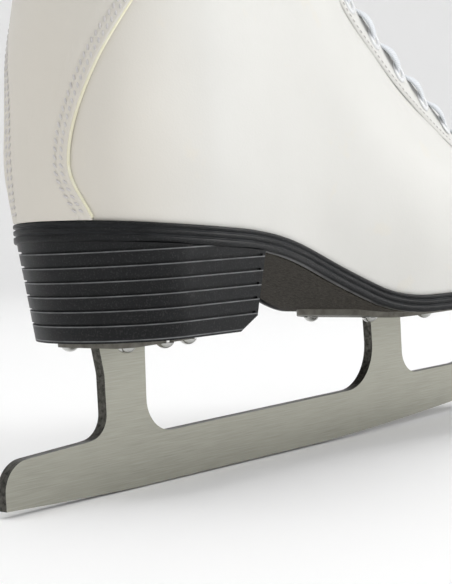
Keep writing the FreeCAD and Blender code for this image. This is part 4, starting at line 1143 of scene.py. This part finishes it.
knot_place = HOOKS[-1][0] - 0.12
knot_at, knot_lean = throat_spot(knot_place, 5.2)
falling = np.array([knot_lean[2], 0, -knot_lean[0]])


def knot_spot(out, across_it, down):
    return knot_at + knot_lean * out + np.array([0, across_it, 0]) + falling * down


for side, inner in (("outer", False), ("inner", True)):
    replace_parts(flat_lace("flat_lace_" + side, [lace_half(inner)]), "lace_" + side)
loop = [(0, 4, 0), (5, 12, -5), (8.5, 22, -4), (9, 31, 3), (8, 34, 13), (7.5, 29, 22),
        (8.5, 19, 22), (7, 11, 14), (2, 4.2, 4)]
end = [(0.5, 2.6, 3.4), (4.2, 5, 12), (4.6, 8, 26), (4.6, 9, 42), (5.6, 13, 56)]
loops, ends = [], []
for side in (-1, 1):
    control = [knot_spot(out, side * y, down) for out, y, down in loop]
    heart = np.mean(control, axis=0)
    loops.append((control, [(p - heart) * 0.6 + knot_lean * 7 for p in control]))
    ends.append(([knot_spot(out, side * y, down) for out, y, down in end], [knot_lean] * len(end)))
def long_of(control):
    return float(np.linalg.norm(np.diff(route_line(control), axis=0), axis=1).sum()) * MM


wrap_round = 4.4
wrap = [knot_spot(wrap_round * math.cos(k * math.pi / 4), 1.6 * math.sin(k * 0.9),
                  wrap_round * math.sin(k * math.pi / 4)) for k in range(-1, 10)]
knot = flat_lace("flat_lace_knot", [(wrap, [p - knot_at for p in wrap])], 6.0, 2.6)
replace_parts(knot, "lace_knot")
tip_film, tree, shader = finish_of("lace_tip_film", Coat_Weight=0.5, Roughness=0.2, IOR=1.5)
paint(tree, shader, mottle(tree, 1.0, 1.5), (0.62, 0.65, 0.70), (0.78, 0.80, 0.84))
FREE_WIDE, TIP_ROUND, TIP_LONG = 4.8, 1.35, 16
rolled_film = [(0.9, -0.4), (TIP_ROUND, 0.0), (TIP_ROUND, 5.0), (TIP_ROUND * 0.94, 5.5),
               (TIP_ROUND, 6.0), (TIP_ROUND, TIP_LONG - 0.5), (TIP_ROUND * 0.7, TIP_LONG),
               (0.2, TIP_LONG)]
for label, side, bow, free in (("outer", -1, loops[0], ends[0]), ("inner", 1, loops[1], ends[1])):
    ribbon = flat_lace("flat_lace_bow_" + label, [bow], FREE_WIDE, 1.4)
    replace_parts(ribbon, "lace_bow")
    long_of(bow[0])
    [tuple(p * MM) for p in route_line(bow[0])]
    ribbon = flat_lace("flat_lace_end_" + label, [free], FREE_WIDE, 1.4)
    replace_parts(ribbon, "lace_ends")
    tip_run = free[0][-1] - free[0][-2]
    tip = lathe("lace_tip_" + label, rolled_film,
                [(free[0][-1], tip_run / np.linalg.norm(tip_run))], 18, tip_film)
    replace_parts(tip, "lace_tips")
    long_of(free[0])
    [tuple(p * MM) for p in route_line(free[0])]
